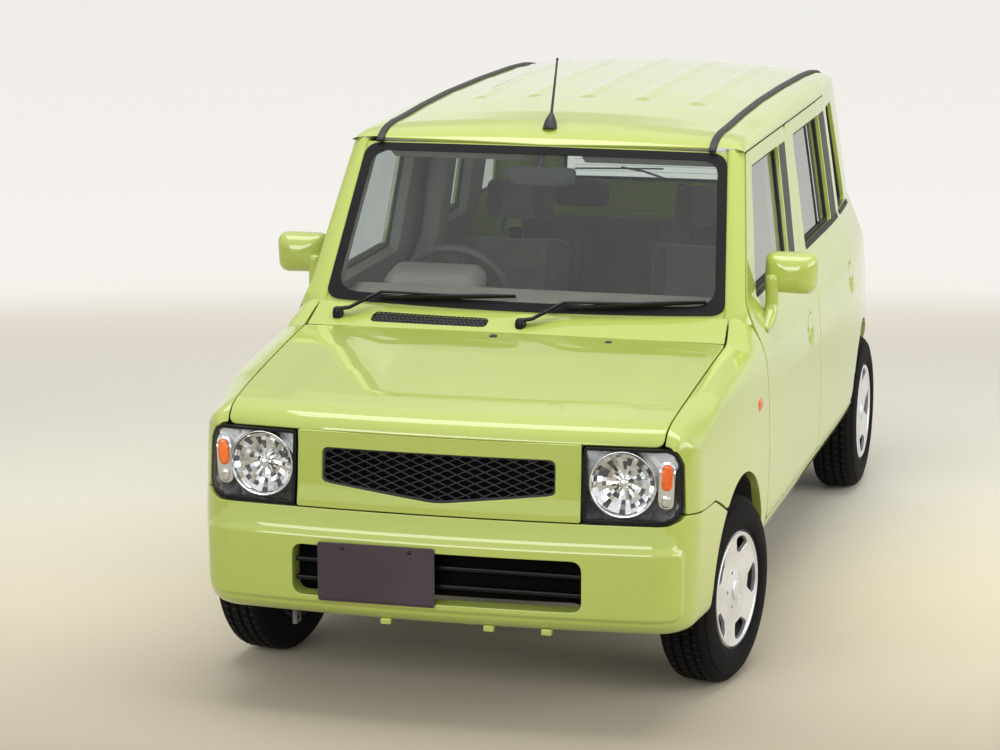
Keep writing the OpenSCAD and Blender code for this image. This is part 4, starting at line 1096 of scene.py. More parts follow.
# %% A repeater
def make_repeater():
    g = bpy.data.node_groups.new("repeater", "GeometryNodeTree")
    face = g.interface
    face.new_socket("Places", in_out="INPUT", socket_type="NodeSocketGeometry")
    for label, kind in (("Cell", "NodeSocketObject"), ("Finish", "NodeSocketMaterial"),
                        ("Size", "NodeSocketFloat")):
        face.new_socket(label, in_out="INPUT", socket_type=kind)
    face.new_socket("Mesh", in_out="OUTPUT", socket_type="NodeSocketGeometry")
    i, o = g.nodes.new("NodeGroupInput"), g.nodes.new("NodeGroupOutput")
    cell, attr, rot = (g.nodes.new(k)
                       for k in ("GeometryNodeObjectInfo", "GeometryNodeInputNamedAttribute",
                                 "FunctionNodeEulerToRotation"))
    inst, real, mat = (g.nodes.new(k)
                       for k in ("GeometryNodeInstanceOnPoints", "GeometryNodeRealizeInstances",
                                 "GeometryNodeSetMaterial"))
    attr.data_type = "FLOAT_VECTOR"
    attr.inputs["Name"].default_value = "cell_turn"
    size = g.nodes.new("ShaderNodeCombineXYZ")
    for axis in "XYZ":
        g.links.new(i.outputs["Size"], size.inputs[axis])
    g.links.new(size.outputs[0], inst.inputs["Scale"])
    g.links.new(i.outputs["Places"], inst.inputs["Points"])
    g.links.new(i.outputs["Cell"], cell.inputs["Object"])
    g.links.new(cell.outputs["Geometry"], inst.inputs["Instance"])
    g.links.new(attr.outputs[0], rot.inputs[0])
    g.links.new(rot.outputs[0], inst.inputs["Rotation"])
    g.links.new(inst.outputs[0], real.inputs[0])
    g.links.new(real.outputs[0], mat.inputs["Geometry"])
    g.links.new(i.outputs["Finish"], mat.inputs["Material"])
    g.links.new(mat.outputs[0], o.inputs["Mesh"])
    return g


repeater = make_repeater()


def repeat(name, cell, places, turns, mat, body="car_body", replaces=()):
    unit = bpy.data.meshes.new(name + "_cell")
    unit.from_pydata((cell.v * MM).tolist(), [], cell.f)
    unit_obj = bpy.data.objects.new(name + "_cell", unit)
    points = bpy.data.meshes.new(name + "_places")
    points.from_pydata((np.asarray(places, float) * MM).tolist(), [], [])
    points.attributes.new("cell_turn", "FLOAT_VECTOR",
                          "POINT").data.foreach_set("vector", np.asarray(turns, float).ravel())
    holder = bpy.data.objects.new(name + "_places", points)
    for obj in (unit_obj, holder):
        scene.collection.objects.link(obj)
    mod = holder.modifiers.new("repeat", "NODES")
    mod.node_group = repeater
    ids = {s.name: s.identifier for s in repeater.interface.items_tree if s.in_out == "INPUT"}
    mod[ids["Cell"]], mod[ids["Finish"]], mod[ids["Size"]] = unit_obj, mat, 1.0
    bpy.context.view_layer.update()
    mesh = bpy.data.meshes.new_from_object(holder.evaluated_get(bpy.context.evaluated_depsgraph_get()))
    mesh.name = name
    holder.modifiers.remove(mod)
    for obj in (holder, unit_obj):
        bpy.data.objects.remove(obj)
    obj = bpy.data.objects.new(name, mesh)
    scene.collection.objects.link(obj)
    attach(obj, body)
    if replaces:
        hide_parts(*replaces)
    print(name, "cells", len(places), "faces", len(mesh.polygons))
    return obj


def euler_rows(normals, up=(0, 0, 1)):
    """Turns that take a cell drawn in the XZ plane, front to -Y, on to a surface with these normals."""
    out = []
    for n in normals:
        y = -Vector(n)
        x = y.cross(Vector(up)).normalized()
        out.append(Matrix((x, y, x.cross(y))).transposed().to_euler()[:])
    return out


hexagon = [(math.cos(math.radians(60 * k + 30)), math.sin(math.radians(60 * k + 30))) for k in range(6)]
ring = [[(a * r, y, b * r) for a, b in hexagon] for r, y in ((7.6, -1.5), (6.0, -1.5), (6.0, 1.5))]
hex_cell = rows(ring, 0, True)
vent_uv = np.array([(x + (j % 2) * 6.7, (y + 1) * 10.5) for j, y in enumerate(np.arange(28, 68, 11.5))
                    for x in np.arange(-436, -92, 13.4)])
vent_uv = vent_uv[inside(vent_uv, vent_hole)]
vent_n = surface_normals(cowl, vent_uv)
repeat("cowl_honeycomb", hex_cell, cowl(vent_uv) - vent_n * 2.5, euler_rows(vent_n, (0, 1, 0)), trim)

# %% [markdown]
# The windscreen is a bowed sheet with a black printed band at its rim, held in a rubber frame. The wipers
# lie at its foot: a pivot cap, an arm and a blade each, both parked towards the car's left.

# %% Windscreen and wipers
screen_line = rounded([(-985, 14, 70), (985, 14, 70), (978, 985, 80), (-978, 985, 80)], n=10)
piece("windscreen", pane(below(screen, 1), screen_line, 5, 60), clear_glass, slot="glass")
glass_view = rounded([(-947, 56, 120), (947, 56, 120), (940, 947, 90), (-940, 947, 90)], n=10)
band = panel(below(screen, -0.6), inset(screen_line, -8), [glass_view], 30, 1.2, 5, 1)
piece("windscreen_band", band, gloss_black, slot="trim_black")
flange = panel(below(screen, 5),
               rounded([(-1012, -25, 6), (1012, -25, 6), (1008, 1004, 6), (-1008, 1004, 6)]),
               [inset(screen_line, 14)], 40, 1, 4)
piece("windscreen_flange", flange, paint, slot="paint")


def on_screen(u, v, lift=0.0):
    q = np.array([[u, v]], float)
    return (screen(q) + surface_normals(screen, q) * lift)[0]


def wiper(pivot, elbow, blade):
    arm_end = mix(on_screen(*blade[0], 18), on_screen(*blade[1], 18), 0.5)
    path = np.array([np.array(pivot) + (0, 0, 12), np.array(pivot) + (34, 6, 18), on_screen(*elbow, 24),
                     arm_end])
    k = np.linspace(0, 3, 19)
    arm = sweep(np.stack([np.interp(k, range(4), path[:, i]) for i in range(3)], 1), np.linspace(1, 0.62, 19),
                section=[(-12, 4), (-12, -3), (-8, -6), (8, -6), (12, -3), (12, 4)])
    cap = lathe([(16, -12), (17, 4), (15, 14), (10, 19), (0.01, 20)], 24).moved(pivot)
    line = np.array([mix(np.array(blade[0]), np.array(blade[1]), t) for t in np.linspace(0, 1, 25)])
    bow = [on_screen(u, v, 9 + 7 * math.sin(math.pi * t)) for (u, v), t in zip(line, np.linspace(0, 1, 25))]
    spine = sweep(bow, np.concatenate([np.linspace(0.5, 1, 6), np.ones(13), np.linspace(1, 0.5, 6)]),
                  section=[(-8, 4), (-8, -4), (-5, -6), (5, -6), (8, -4), (8, 4)])
    lip_line = [on_screen(u, v, 4.5) for u, v in line]
    return arm + cap + spine + sweep(lip_line, 1.0, section=[(-2.5, 4), (-2.5, -4), (2.5, -4), (2.5, 4)])


wipers = wiper((-543, -806, 948), (-700, 50), ((-690, 30), (-30, 88)))
wipers = wipers + wiper((16, -812, 940), (220, 48), ((240, 30), (905, 80)))
piece("wiper_set", wipers, gloss_black, slot="trim_black", replaces=("wipers",))
print("windscreen and wipers done")

# %% [markdown]
# The face between the lamps is one bowed panel with a wide grille opening, deepest in the middle. The mesh
# behind it is a lattice of flat bars. Each crossing is one cell, so the repeater fills the opening, and a
# black frame hides the cut ends.

# %% Front panel and grille
front_table = np.linspace(-760, 760, 3041)


def front_s(x):
    """How far round the front path a place across the car lies."""
    return np.interp(x, front_path(front_table)[0], front_table)


def grille_pts(d=0.0):
    """The opening, drawn d smaller all round."""
    return rounded([(-326 + d, 652 + d, 18), (-300 + d, 646 + d, 30), (0, 612 + d, 260),
                    (300 - d, 646 + d, 30), (326 - d, 652 + d, 18),
                    (326 - d, 745 - d, 22), (-326 + d, 745 - d, 22)], n=8)


panel_line = rounded([(-394, 582, 5), (394, 582, 5), (394, 789, 6), (-394, 789, 6)])


def face_skin(uv):
    """The front face with a soft roll towards the grille opening."""
    p = front_face(uv)
    off = np.clip((np.abs(uv[:, 1] - 690) - 52) / 40, 0, 1)
    p[:, 1] += 4 * (1 - off * off * (3 - 2 * off))
    return p


face_panel = panel(face_skin, inset(panel_line, 1), [grille_pts(-2)], 18, 2.2, 30, 26, 10)
piece("front_panel_skin", face_panel, paint, slot="paint", replaces=("front_panel",))
frame_ring = panel(below(front_face, 16), grille_pts(-1), [grille_pts(4)], 14, 1, 16, 8)
piece("grille_frame", frame_ring, trim, slot="trim_black")
PITCH_X, PITCH_Z = 52.0, 21.6
half_bar = 0.5 * math.hypot(PITCH_X / 2, PITCH_Z / 2)
bar_tilt = math.degrees(math.atan2(PITCH_Z, PITCH_X))
bar = block((2 * half_bar + 1.5, 6, 2.8), 0.5, 1)
cross_cell = bar.moved((0, 0, 0), turn(0, bar_tilt, 0)) + bar.moved((0, 0, 0), turn(0, -bar_tilt, 0))
lattice = np.array([(i * PITCH_X / 2, 604 + j * PITCH_Z / 2) for i in range(-13, 14) for j in range(16)
                    if (i + j) % 2 == 0])
lattice = lattice[inside(lattice, grille_pts(2))]
mesh_bed = below(front_face, 22)
repeat("grille_lattice", cross_cell, mesh_bed(lattice), euler_rows(surface_normals(front_face, lattice)),
       trim, replaces=("grille_mesh",))
# Painted shade: a near-black matt sheet behind the lattice stands in for the dark space behind the grille.
shade_sheet = panel(below(front_face, 31), grille_pts(-8), (), 40, 1, 3)
piece("grille_backing", shade_sheet, shade_black, slot="trim_black")

# %% [markdown]
# Each headlamp is a box behind a clear cover: pale above and dark grey below, with one round faceted
# reflector and a slim upright turn signal at its outer end. The pale white above is partly painted
# reflection, a flat white standing in for a silver box that mirrors the bright sky. A gloss black rim
# frames the cover. The facets are flat on purpose, so they sparkle, and some are painted dull grey as
# painted dark reflections.

# %% Headlamps
lamp_pts = [(401, 582, 14), (620, 582, 30), (646, 592, 24), (663, 622, 34), (663, 742, 44), (650, 772, 30),
            (624, 784, 26), (401, 785, 14)]
lamp_line = np.array([(front_s(x), z) for x, z in inset(rounded(lamp_pts), 1.5)])
rim = panel(below(front_face, 1), lamp_line, [inset(lamp_line, 6)], 8, 1.5, 30, 30)
pair("headlamp_rim", rim, gloss_black, slot="trim_black", replaces=("front_lamps",))
cover = pane(below(front_face, 1.5), inset(lamp_line, 5), 3, 12)
pair("headlamp_cover", cover, lamp_glass, slot="lamp")
SPLIT = 664
inner = inset(lamp_line, 4)


def clip_loop(loop, z, keep_above):
    out = []
    for a, b in zip(loop, np.roll(loop, -1, 0)):
        ka, kb = (a[1] >= z) == keep_above, (b[1] >= z) == keep_above
        if ka:
            out.append(a)
        if ka != kb:
            out.append(a + (b - a) * (z - a[1]) / (b[1] - a[1]))
    return np.array(out)


def lamp_bed(uv):
    """The floor of the lamp box: shallow at the rim, deep in the middle."""
    p = front_face(uv)
    n = surface_normals(front_face, uv)
    near = np.array([np.min(np.hypot(*(lamp_line - q).T)) for q in uv])
    return p - n * (8 + 44 * np.clip((near - 6) / 34, 0, 1) ** 0.7)[:, None]


LAMP_X, LAMP_Z = 505, 686
upper, lower = clip_loop(inner, SPLIT, True), clip_loop(inner, SPLIT, False)
bed = panel(lamp_bed, upper, (), 6, 0.4, 2, m=0) + panel(lamp_bed, lower, (), 6, 0.4, 2, m=1)
pair("headlamp_box", bed, [lamp_pale_painted_reflection, lamp_grey], slot="lamp")


def facets(profile, n):
    """A turned dish with flat facets, each with its own normal. Some are painted dull grey as painted dark
    reflections, so the dish sparkles.
    """
    v, f, nn, painted_dark = [], [], [], []
    for (r0, z0), (r1, z1) in zip(profile, profile[1:]):
        for k in range(n):
            a0, a1 = 2 * np.pi * k / n, 2 * np.pi * (k + 1) / n
            corners = ((r0, z0, a0), (r0, z0, a1), (r1, z1, a1), (r1, z1, a0))
            q = np.array([(r * math.cos(a), r * math.sin(a), z) for r, z, a in corners])
            flat = np.cross(q[1] - q[0], q[3] - q[0])
            jog = 0.36 * np.array([math.sin(7.1 * k + r1), math.cos(4.3 * k + r0), 0])
            # Painted dark reflections: about one facet in five takes the dull grey finish.
            painted_dark.append(int(abs(math.sin(127.1 * k + 31.7 * r0)) * 437.5 % 1 > 0.8))
            f.append(tuple(range(len(v), len(v) + 4)))
            v += list(q)
            nn += [flat / max(np.linalg.norm(flat), 1e-9) + jog] * 4
    return Shape(v, f, nn, painted_dark)


def face_forward(shape, x, z, depth):
    """Puts a shape turned about +Z on the lamp, with +Z to the front."""
    q = np.array([[front_s(x), z]])
    p = (front_face(q) - surface_normals(front_face, q) * depth)[0]
    n = surface_normals(front_face, np.array([[front_s(x - 40), z]]))[0]
    spin = Vector((0, 0, 1)).rotation_difference(Vector((n[0] * 0.4, -1, 0)).normalized()).to_matrix()
    return shape.moved(p, spin)


bowl = facets([(90, -2), (82, -9), (72, -16), (60, -22), (48, -26), (36, -29), (24, -31), (2, -32)], 30)
collar = lathe([(90, -24), (92, -22), (92, 2), (90, 4), (86, 3), (84, -2), (84, -14)], 48)
bulb = lathe([(15, -36), (15, -18), (13, -13), (8, -10), (0.01, -9)], 20)
reflector = bowl + collar + bulb
pair("headlamp_reflector", face_forward(reflector, LAMP_X, LAMP_Z, 14), [chrome, lamp_grey], slot="lamp")
TURN_X, TURN_Z = 627, 684


def capsule(w, h, d):
    """A long lens with half-round ends."""
    ends = np.linspace(0, np.pi, 13)
    line = [(w / 2 * math.cos(a), (h - w) / 2 + w / 2 * math.sin(a)) for a in ends]
    line = np.array(line + [(-x, -z) for x, z in line])

    def dome(uv):
        k = np.array([np.min(np.hypot(*(line - q).T)) for q in uv]) / (w / 2)
        return np.stack([uv[:, 0], uv[:, 1], d * np.sqrt(np.clip(1 - (1 - np.clip(k, 0, 1)) ** 2, 0, 1))], 1)
    return panel(dome, inset(line, 1.5), (), 5, 0.8, 10)


signal = capsule(44, 138, 6).finish(1)
signal = signal + capsule(30, 76, 8).moved((0, 24, 5)).finish(0)
signal = signal + capsule(26, 36, 6).moved((0, -42, 5)).finish(1)
pair("turn_signal", face_forward(signal, TURN_X, TURN_Z, 20), [amber, chrome], slot="lamp")
print("headlamps", len(bed.f) + len(reflector.f))

# %% [markdown]
# The bumper is one moulding in body colour. A broad raised band runs across its face and fades out before
# the corners. A low rounded opening holds a black insert with two bars. The plate hangs off centre in
# front of it on two screws.

# %% Front bumper and plate
flat_bow = curve([(268, -34), (280, -8), (300, 16), (325, 25), (380, 27), (470, 27), (520, 24), (550, 17),
                  (577, 13), (620, 9)], 20)
low_side = curve([(268, -40), (280, -22), (300, -12), (345, -7), (400, -5), (560, 0), (740, -4)], 20)


def step_in(v, edge, soft):
    k = np.clip((edge - v) / soft, 0, 1)
    return k * k * (3 - 2 * k)


def bumper_skin(uv):
    x, y, nx, ny = front_path(uv[:, 0])
    raised = 9 * step_in(np.hypot(np.maximum(np.abs(uv[:, 0]) - 636, 0),
                                  np.maximum(np.abs(uv[:, 1] - 416) - 70, 0)), 34, 15)
    w = ny ** 2
    o = (flat_bow(uv[:, 1]) + raised) * w + (low_side(uv[:, 1]) + raised) * (1 - w)
    return np.stack([x + nx * o, y + ny * o, uv[:, 1]], 1)


def arch_edge(z):
    return FRONT_AXLE - math.sqrt(ARCH_R ** 2 - (z - ARCH_Z) ** 2)


def bumper_end(z):
    return float(np.interp(arch_edge(z), fy, fender_s))


side_edge = [(bumper_end(z), z, 0) for z in np.linspace(284, 536, 14)]
bumper_top = [(fender_at(y, z)[0], z - 5, r) for (y, z), r in zip(SPLIT_LINE[2::-1], (50, 60, 8))]
bumper_top += [(front_s(654), 588, 20), (front_s(624), 577, 16)]
half = [(bumper_end(284), 271, 8)] + side_edge + bumper_top
bumper_line = rounded(half + [(-s, z, r) for s, z, r in half[::-1]], 4)
opening = rounded([(-404, 336), (404, 336), (404, 482), (-404, 482)], 34, 8)
bumper = panel(bumper_skin, inset(bumper_line, 2), [opening], 10, 2.4, 26, 52, 9)
piece("front_bumper_skin", bumper, paint, slot="paint", replaces=("front_bumper",))
# The insert's back wall is a real black part, finished near-black and matt as painted shade deep in the
# opening.
insert = panel(below(bumper_face, 56), inset(opening, -6), (), 30, 1, 4, m=1)
for z in (380, 432):
    insert = insert + block((800, 22, 13), 4, 2).moved((0, FRONT + 8, z))
piece("bumper_insert_bars", insert, [gloss_black, shade_black], slot="trim_black",
      replaces=("bumper_insert",))
PLATE_W2, PLATE_H2 = 165, 82.5
plate_face = rounded([(-PLATE_W2, -PLATE_H2), (PLATE_W2, -PLATE_H2), (PLATE_W2, PLATE_H2),
                      (-PLATE_W2, PLATE_H2)], 8)


def plate_skin(uv):
    """A pressed plate: a raised rim and a flat field."""
    d = np.minimum(PLATE_W2 - np.abs(uv[:, 0]), PLATE_H2 - np.abs(uv[:, 1]))
    k = np.clip(1 - np.abs(d - 5) / 4, 0, 1)
    return np.stack([uv[:, 0] - 160, -1696.5 - 1.6 * k * k * (3 - 2 * k), uv[:, 1] + 412.5], 1)


plate = panel(plate_skin, inset(plate_face, 1), (), 6, 0.8, 2.6)
screw = lathe([(5.5, 0), (5.5, 2), (4, 3.5), (0.01, 4)], 16)
plate_set = plate.finish(0)
for x in (-255, -65):
    plate_set = plate_set + screw.moved((x, -1696.5, 480), turn(90)).finish(1)
    plate_set = plate_set + block((18, 70, 6), 1, 1).moved((x, -1660, 478)).finish(2)
piece("front_plate_set", plate_set, [plate_dark, cover_dark, trim], slot="plate", replaces=("front_plate",))
tabs = block((30, 22, 18), 4, 2)
piece("bumper_tabs",
      tabs.moved((-150, -1634, 268)) + tabs.moved((140, -1634, 268)) + tabs.moved((300, -1631, 268)),
      paint, slot="paint")
print("bumper", len(bumper.f))

# %% [markdown]
# The door mirrors are rounded shells in body colour with a flat glass towards the driver, each on a short
# foot at the corner of the door. They swing with the door. The sill closes the side below the doors, and
# a black band closes the gap between each wheel arch and its liner.

# %% Mirrors, sills and aerial
def pillow(line, depth, reach, step=8, roll=1.5, deep=6):
    """A cushion-shaped cap over a flat outline, with its face to +Z."""
    def dome(uv):
        k = np.array([np.min(np.hypot(*(line - q).T)) for q in uv]) / reach
        return np.stack([uv[:, 0], uv[:, 1],
                         depth * np.sqrt(np.clip(1 - (1 - np.clip(k, 0, 1)) ** 2, 0, 1))], 1)
    return panel(dome, inset(line, roll), (), step, roll, deep)


mirror_line = rounded([(-90, -58, 24), (64, -62, 36), (71, 62, 34), (-86, 62, 28)], n=8)
depth_of = [(max(0.02, (1 - (1 - t) ** 2.4) ** (1 / 2.4)), -537 + 60 * t)
            for t in np.linspace(0, 1, 22) ** 1.8]
depth_of += [(1.0, -474), (0.985, -471.5), (0.95, -471), (0.93, -473), (0.925, -488)]
shell = rows([[(765 + k * x, y, 1069 + k * z) for x, z in mirror_line[::-1]] for k, y in depth_of], 0,
             True, True)
neck_bend, neck_knee, neck_foot = (np.array(q, float)
                                   for q in ((705, -524, 985), (705, -524, 945), (698, -606, 913)))
barrel_line = [(705, -524, z) for z in (1070, 1069, 1065, 1058, 1040, 1020, 1000)]
neck = [(1 - t) ** 2 * neck_bend + 2 * t * (1 - t) * neck_knee + t * t * neck_foot
        for t in np.linspace(0, 1, 15)]
neck = sweep(np.array(barrel_line + neck),
             [5, 12, 17, 19, 19.5, 19.5, 19.5]
             + list(np.interp(np.linspace(0, 1, 15), [0, 0.6, 1], [19.5, 21, 11])), 20)
for obj, n in zip(pair("door_mirror", shell + neck, paint, BODIES["front"], slot="paint"),
                  ("mirror_left", "mirror_right")):
    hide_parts(n)
silver = pillow(inset(mirror_line[::-1] * (-1, 1), 5), 1.2, 30, 14, 0.6, 3)
silver = silver.moved((765, -478, 1069), turn(90, 0, 180))
pair("door_mirror_glass", silver, mirror_glass, BODIES["front"], slot="glass")
sill_line = rounded([(-703, 304, 5), (980, 304, 5), (988, 365, 5), (-703, 365, 5)])
pair("sill_skin", panel(side, sill_line, (), 22, 2, 30), paint, slot="paint")


def front_edge(y, z):
    return float(np.interp(y, fy, fx) + side_lean(z))


def rear_edge(y, z):
    return float(rear_wrap(np.array([[rear_place(y), z]]))[0, 0])


def arch_band(y0, edge):
    """A thin strip from the arch's edge in to the wheel house liner."""
    out = []
    r0, r1 = ARCH_R + 1, ARCH_R + 4
    for a in np.radians(np.linspace(4, 176, 44)):
        y, z = math.cos(a), math.sin(a)
        x = edge(y0 + r0 * y, ARCH_Z + r0 * z) - 20
        w = min(640, x - 15)
        ring = [(x, r0 + 0.5), (x, r1 - 0.5), (x - 0.5, r1), (w + 0.5, r1)]
        ring += [(w, r1 - 0.5), (w, r0 + 0.5), (w + 0.5, r0), (x - 0.5, r0)]
        out.append([(k, y0 + r * y, ARCH_Z + r * z) for k, r in ring])
    return rows(out, 0, True, True)


bands = arch_band(FRONT_AXLE, front_edge) + arch_band(REAR_AXLE, rear_edge)
pair("arch_bands", bands, under_black, slot="under_black")
boss = lathe([(22, -4), (21, 6), (18, 22), (13, 34), (9, 42), (6, 48)], 28)
rod = lathe([(5, 44), (4.2, 60), (3.6, 140), (3.0, 214), (4.0, 216), (4.2, 222), (0.01, 224)], 14)
mast = boss + rod
piece("aerial_mast", mast.moved((0, -395, 1461), turn(-25)), trim, slot="trim_black", replaces=("aerial",))
print("mirror", len(shell.f), "arch bands", len(bands.f))

# %% [markdown]
# The rear isn't in the photo, so it follows what such cars have: one wide tailgate with a bowed window, a
# recess for the plate, a grip above it and a wiper. Its top edge follows the roof with an even gap.
# Behind that gap a gutter is sunk far enough under the roof to let the top edge swing.

# %% Tailgate
def tail(uv):
    """The tailgate's skin, with the plate recess pressed in."""
    p = rear_wrap(uv)
    inx = np.clip((205 - np.abs(uv[:, 0])) / 14, 0, 1)
    inz = np.clip((112 - np.abs(uv[:, 1] - 748)) / 14, 0, 1)
    k = inx * inx * (3 - 2 * inx) * inz * inz * (3 - 2 * inz)
    p[:, 1] -= 16 * k
    return p


def tail_top(s):
    """The tailgate's top edge, which keeps an even gap under the roof's rear edge."""
    return float(roof_z(rear_wrap(np.array([[s, 1410.0]]))[0, 0], 1474.0)) - 14


top_edge = [(s, tail_top(s), 0) for s in np.linspace(465, -465, 21)]
tail_line = rounded([(-513, 583, 16), (513, 583, 16), (513, tail_top(513), 34)] + top_edge
                    + [(-513, tail_top(-513), 34)])
rear_window_line = rounded([(-430, 1015, 34), (430, 1015, 34), (440, 1040, 30), (420, 1340, 50),
                            (-420, 1340, 50), (-440, 1040, 30)], n=8)
tail_skin = panel(tail, inset(tail_line, 2.2), [inset(rear_window_line, -2)], 10, 2.2, 34, 18, 10)
piece("tailgate_skin", tail_skin, paint, "tailgate", "paint", ("tailgate",))
piece("tailgate_seal",
      panel(below(rear_wrap, 8), inset(rear_window_line, 0.5), [inset(rear_window_line, 11)], 16, 2, 8, 6),
      seal_rubber, "tailgate", "trim_black")
rear_glass = pane(below(rear_wrap, 12), inset(rear_window_line, 3), 4, 40)
piece("tailgate_glass_pane", rear_glass, clear_glass, "tailgate", "glass", ("tailgate_glass",))
heater_uv = np.array([(s, z) for z in np.arange(1050, 1320, 22.0) for s in np.arange(-378, 379, 42.0)])
heater_bed = below(rear_wrap, 17)
heater_cell = block((42.6, 0.8, 1.1), 0.2, 1)
repeat("tailgate_heater", heater_cell, heater_bed(heater_uv),
       euler_rows(surface_normals(rear_wrap, heater_uv)), dash_grain, "tailgate")


def blank_skin(uv):
    """The rear plate, lying flat: a raised rim and a flat field."""
    d = np.minimum(PLATE_W2 - np.abs(uv[:, 0]), PLATE_H2 - np.abs(uv[:, 1]))
    return np.stack([uv[:, 0], uv[:, 1], 1.4 * np.clip(1 - np.abs(d - 5) / 4, 0, 1)], 1)


blank = panel(blank_skin, inset(plate_face, 1), (), 7, 0.8, 3)
tail_spot = tail(np.array([[0.0, 742.0]]))[0]
tail_rise = tail(np.array([[0.0, 662.0], [0.0, 822.0]]))
tail_tilt = math.degrees(math.atan2(tail_rise[0, 1] - tail_rise[1, 1], 160))
piece("tailgate_plate", blank.moved(tail_spot + (0, 8, 0), turn(90 - tail_tilt, 0, 180)), plate_dark,
      "tailgate", "plate")
print("tailgate leans", round(tail_tilt, 1))
header_x = np.linspace(-506, 506, 45)
gutter = ((1475, 8), (1440, 10), (1405, 36), (1396, 78))
header_rows = [[(x, y, float(roof_z(x, y)) - drop) for x in header_x] for y, drop in gutter]
piece("roof_header", rows(header_rows), paint, slot="paint")
grip = block((430, 30, 34), 12, 3).moved(tail_spot + (0, 4, 132))
piece("tailgate_grip", grip, paint, "tailgate", "paint")
stop = block((230, 16, 20), 6, 3).moved((rear_wrap(np.array([[0.0, 1372.0]]))[0] + (0, -1, 0)))
piece("high_stop_lamp", stop, red_lens, "tailgate", "lamp_red")


def on_tail(s, z, lift):
    q = np.array([[s, z]], float)
    return (rear_wrap(q) + surface_normals(rear_wrap, q) * lift)[0]


hub = lathe([(17, -10), (17, 12), (13, 22), (0.01, 24)], 24)
tail_normal = surface_normals(rear_wrap, np.array([[0.0, 985.0]]))[0]
hub = hub.moved(on_tail(0, 985, 0), Vector((0, 0, 1)).rotation_difference(Vector(tail_normal)).to_matrix())
flat_bar = [(-7, 3), (-7, -3), (7, -3), (7, 3)]
arm = sweep([on_tail(s, z, 18) for s, z in ((0, 985), (60, 1010), (150, 1040), (230, 1052))], 1.0,
            section=flat_bar)
blade = sweep([on_tail(s, 1056 - 0.02 * s, 7) for s in np.linspace(70, 400, 12)], 0.8, section=flat_bar)
piece("tailgate_wiper", hub + arm + blade, trim, "tailgate", "trim_black")
print("tailgate", len(tail_skin.f))

# %% [markdown]
# Each tall tail lamp has three windows in one frame: red above, amber for the turn signal and grey below.
# The bumper's moulding wraps to the wheel arches, with a small reflector at each corner.

# %% Tail lamps and rear bumper
def lamp_part(z0, z1, mat):
    line = inset(rounded([(lamp_s + 3, z0, 12), (S_END - 2, z0, 12), (S_END - 2, z1, 12),
                          (lamp_s + 3, z1, 12)]), 2)
    return panel(below(rear_wrap, -2), line, (), 9, 2.5, 12, m=mat)


lens_set = lamp_part(684, 830, 0) + lamp_part(642, 684, 1) + lamp_part(600, 642, 2)
pair("tail_lamp_lenses", lens_set, [red_lens, amber, lamp_grey], slot="lamp_red", replaces=("tail_lamps",))
frame_line = rounded([(lamp_s + 1, 599, 14), (S_END, 599, 8), (S_END, 831, 8), (lamp_s + 1, 831, 14)])
pair("tail_lamp_base", panel(below(rear_wrap, 6), inset(frame_line, 1), (), 14, 1.5, 24), gloss_black,
     slot="trim_black")


def rear_end(z):
    return -float(rear_place(REAR_AXLE + math.sqrt(ARCH_R ** 2 - (z - ARCH_Z) ** 2)))


rear_side = [(rear_end(z), z, 0) for z in np.linspace(306, 560, 12)]
half_rear = [(rear_end(306), 293, 6)] + rear_side + [(rear_end(575), 577, 5)]
rear_line = rounded(half_rear + [(-s, z, r) for s, z, r in half_rear[::-1]], 4)
rear_bumper = panel(rear_bumper_face, inset(rear_line, 2), (), 17, 2.4, 26)
piece("rear_bumper_skin", rear_bumper, paint, slot="paint", replaces=("rear_bumper",))
reflector_line = rounded([(-560, 352), (-470, 352), (-470, 384), (-560, 384)], 10)
pair("rear_reflector", panel(below(rear_bumper_face, -2), reflector_line, (), 8, 2, 6), red_lens,
     slot="lamp_red")
print("rear bumper", len(rear_bumper.f))

# %% [markdown]
# Each wheel is a tyre, a steel rim and a plastic cover. The tyre is turned from its section: bead, bulged
# sidewall, rounded shoulder and tread with three deep grooves. Cross slots are one small cell set round
# the tread. The front wheels stand steered to the car's right, as in the photo.

# %% Tyres
TYRE_R, HALF_TRACK, STEER = 266, 647, -10


def tyre_profile():
    wall = [(170, -64), (174, -72), (184, -77), (206, -77.5), (226, -76), (242, -71), (252, -65),
            (259, -58), (262.5, -54)]
    tread = [(264, -50)]
    for z in (-30, 0, 30):
        tread += [(TYRE_R, z - 5), (TYRE_R, z - 4), (258, z - 3), (258, z + 3), (TYRE_R, z + 4),
                  (TYRE_R, z + 5)]
    tread += [(264, 50)]
    return wall + tread + [(r, -z) for r, z in wall[::-1]]


rings = [(195, 0.5), (199, 0.8), (244, 0.7)]
tyre = lathe(tyre_profile(), 72)
for sign in (-1, 1):
    for r, lift in rings:
        z = 77.0 if r < 220 else 70.2
        bead_ring = lathe([(r - 1.5, z), (r + 1.5, z), (r, z + lift)][::-1] if sign > 0
                          else [(r - 1.5, -z), (r, -z - lift), (r + 1.5, -z)][::-1], 72)
        tyre = tyre + bead_ring


def wheel_place(front, left):
    """Where a wheel stands, and the turn that takes its own +Z axle outwards."""
    out = turn(0, 90 if left else -90, 0)
    if front:
        out = turn(0, 0, STEER) @ out
    return (HALF_TRACK if left else -HALF_TRACK, FRONT_AXLE if front else REAR_AXLE, TYRE_R), out


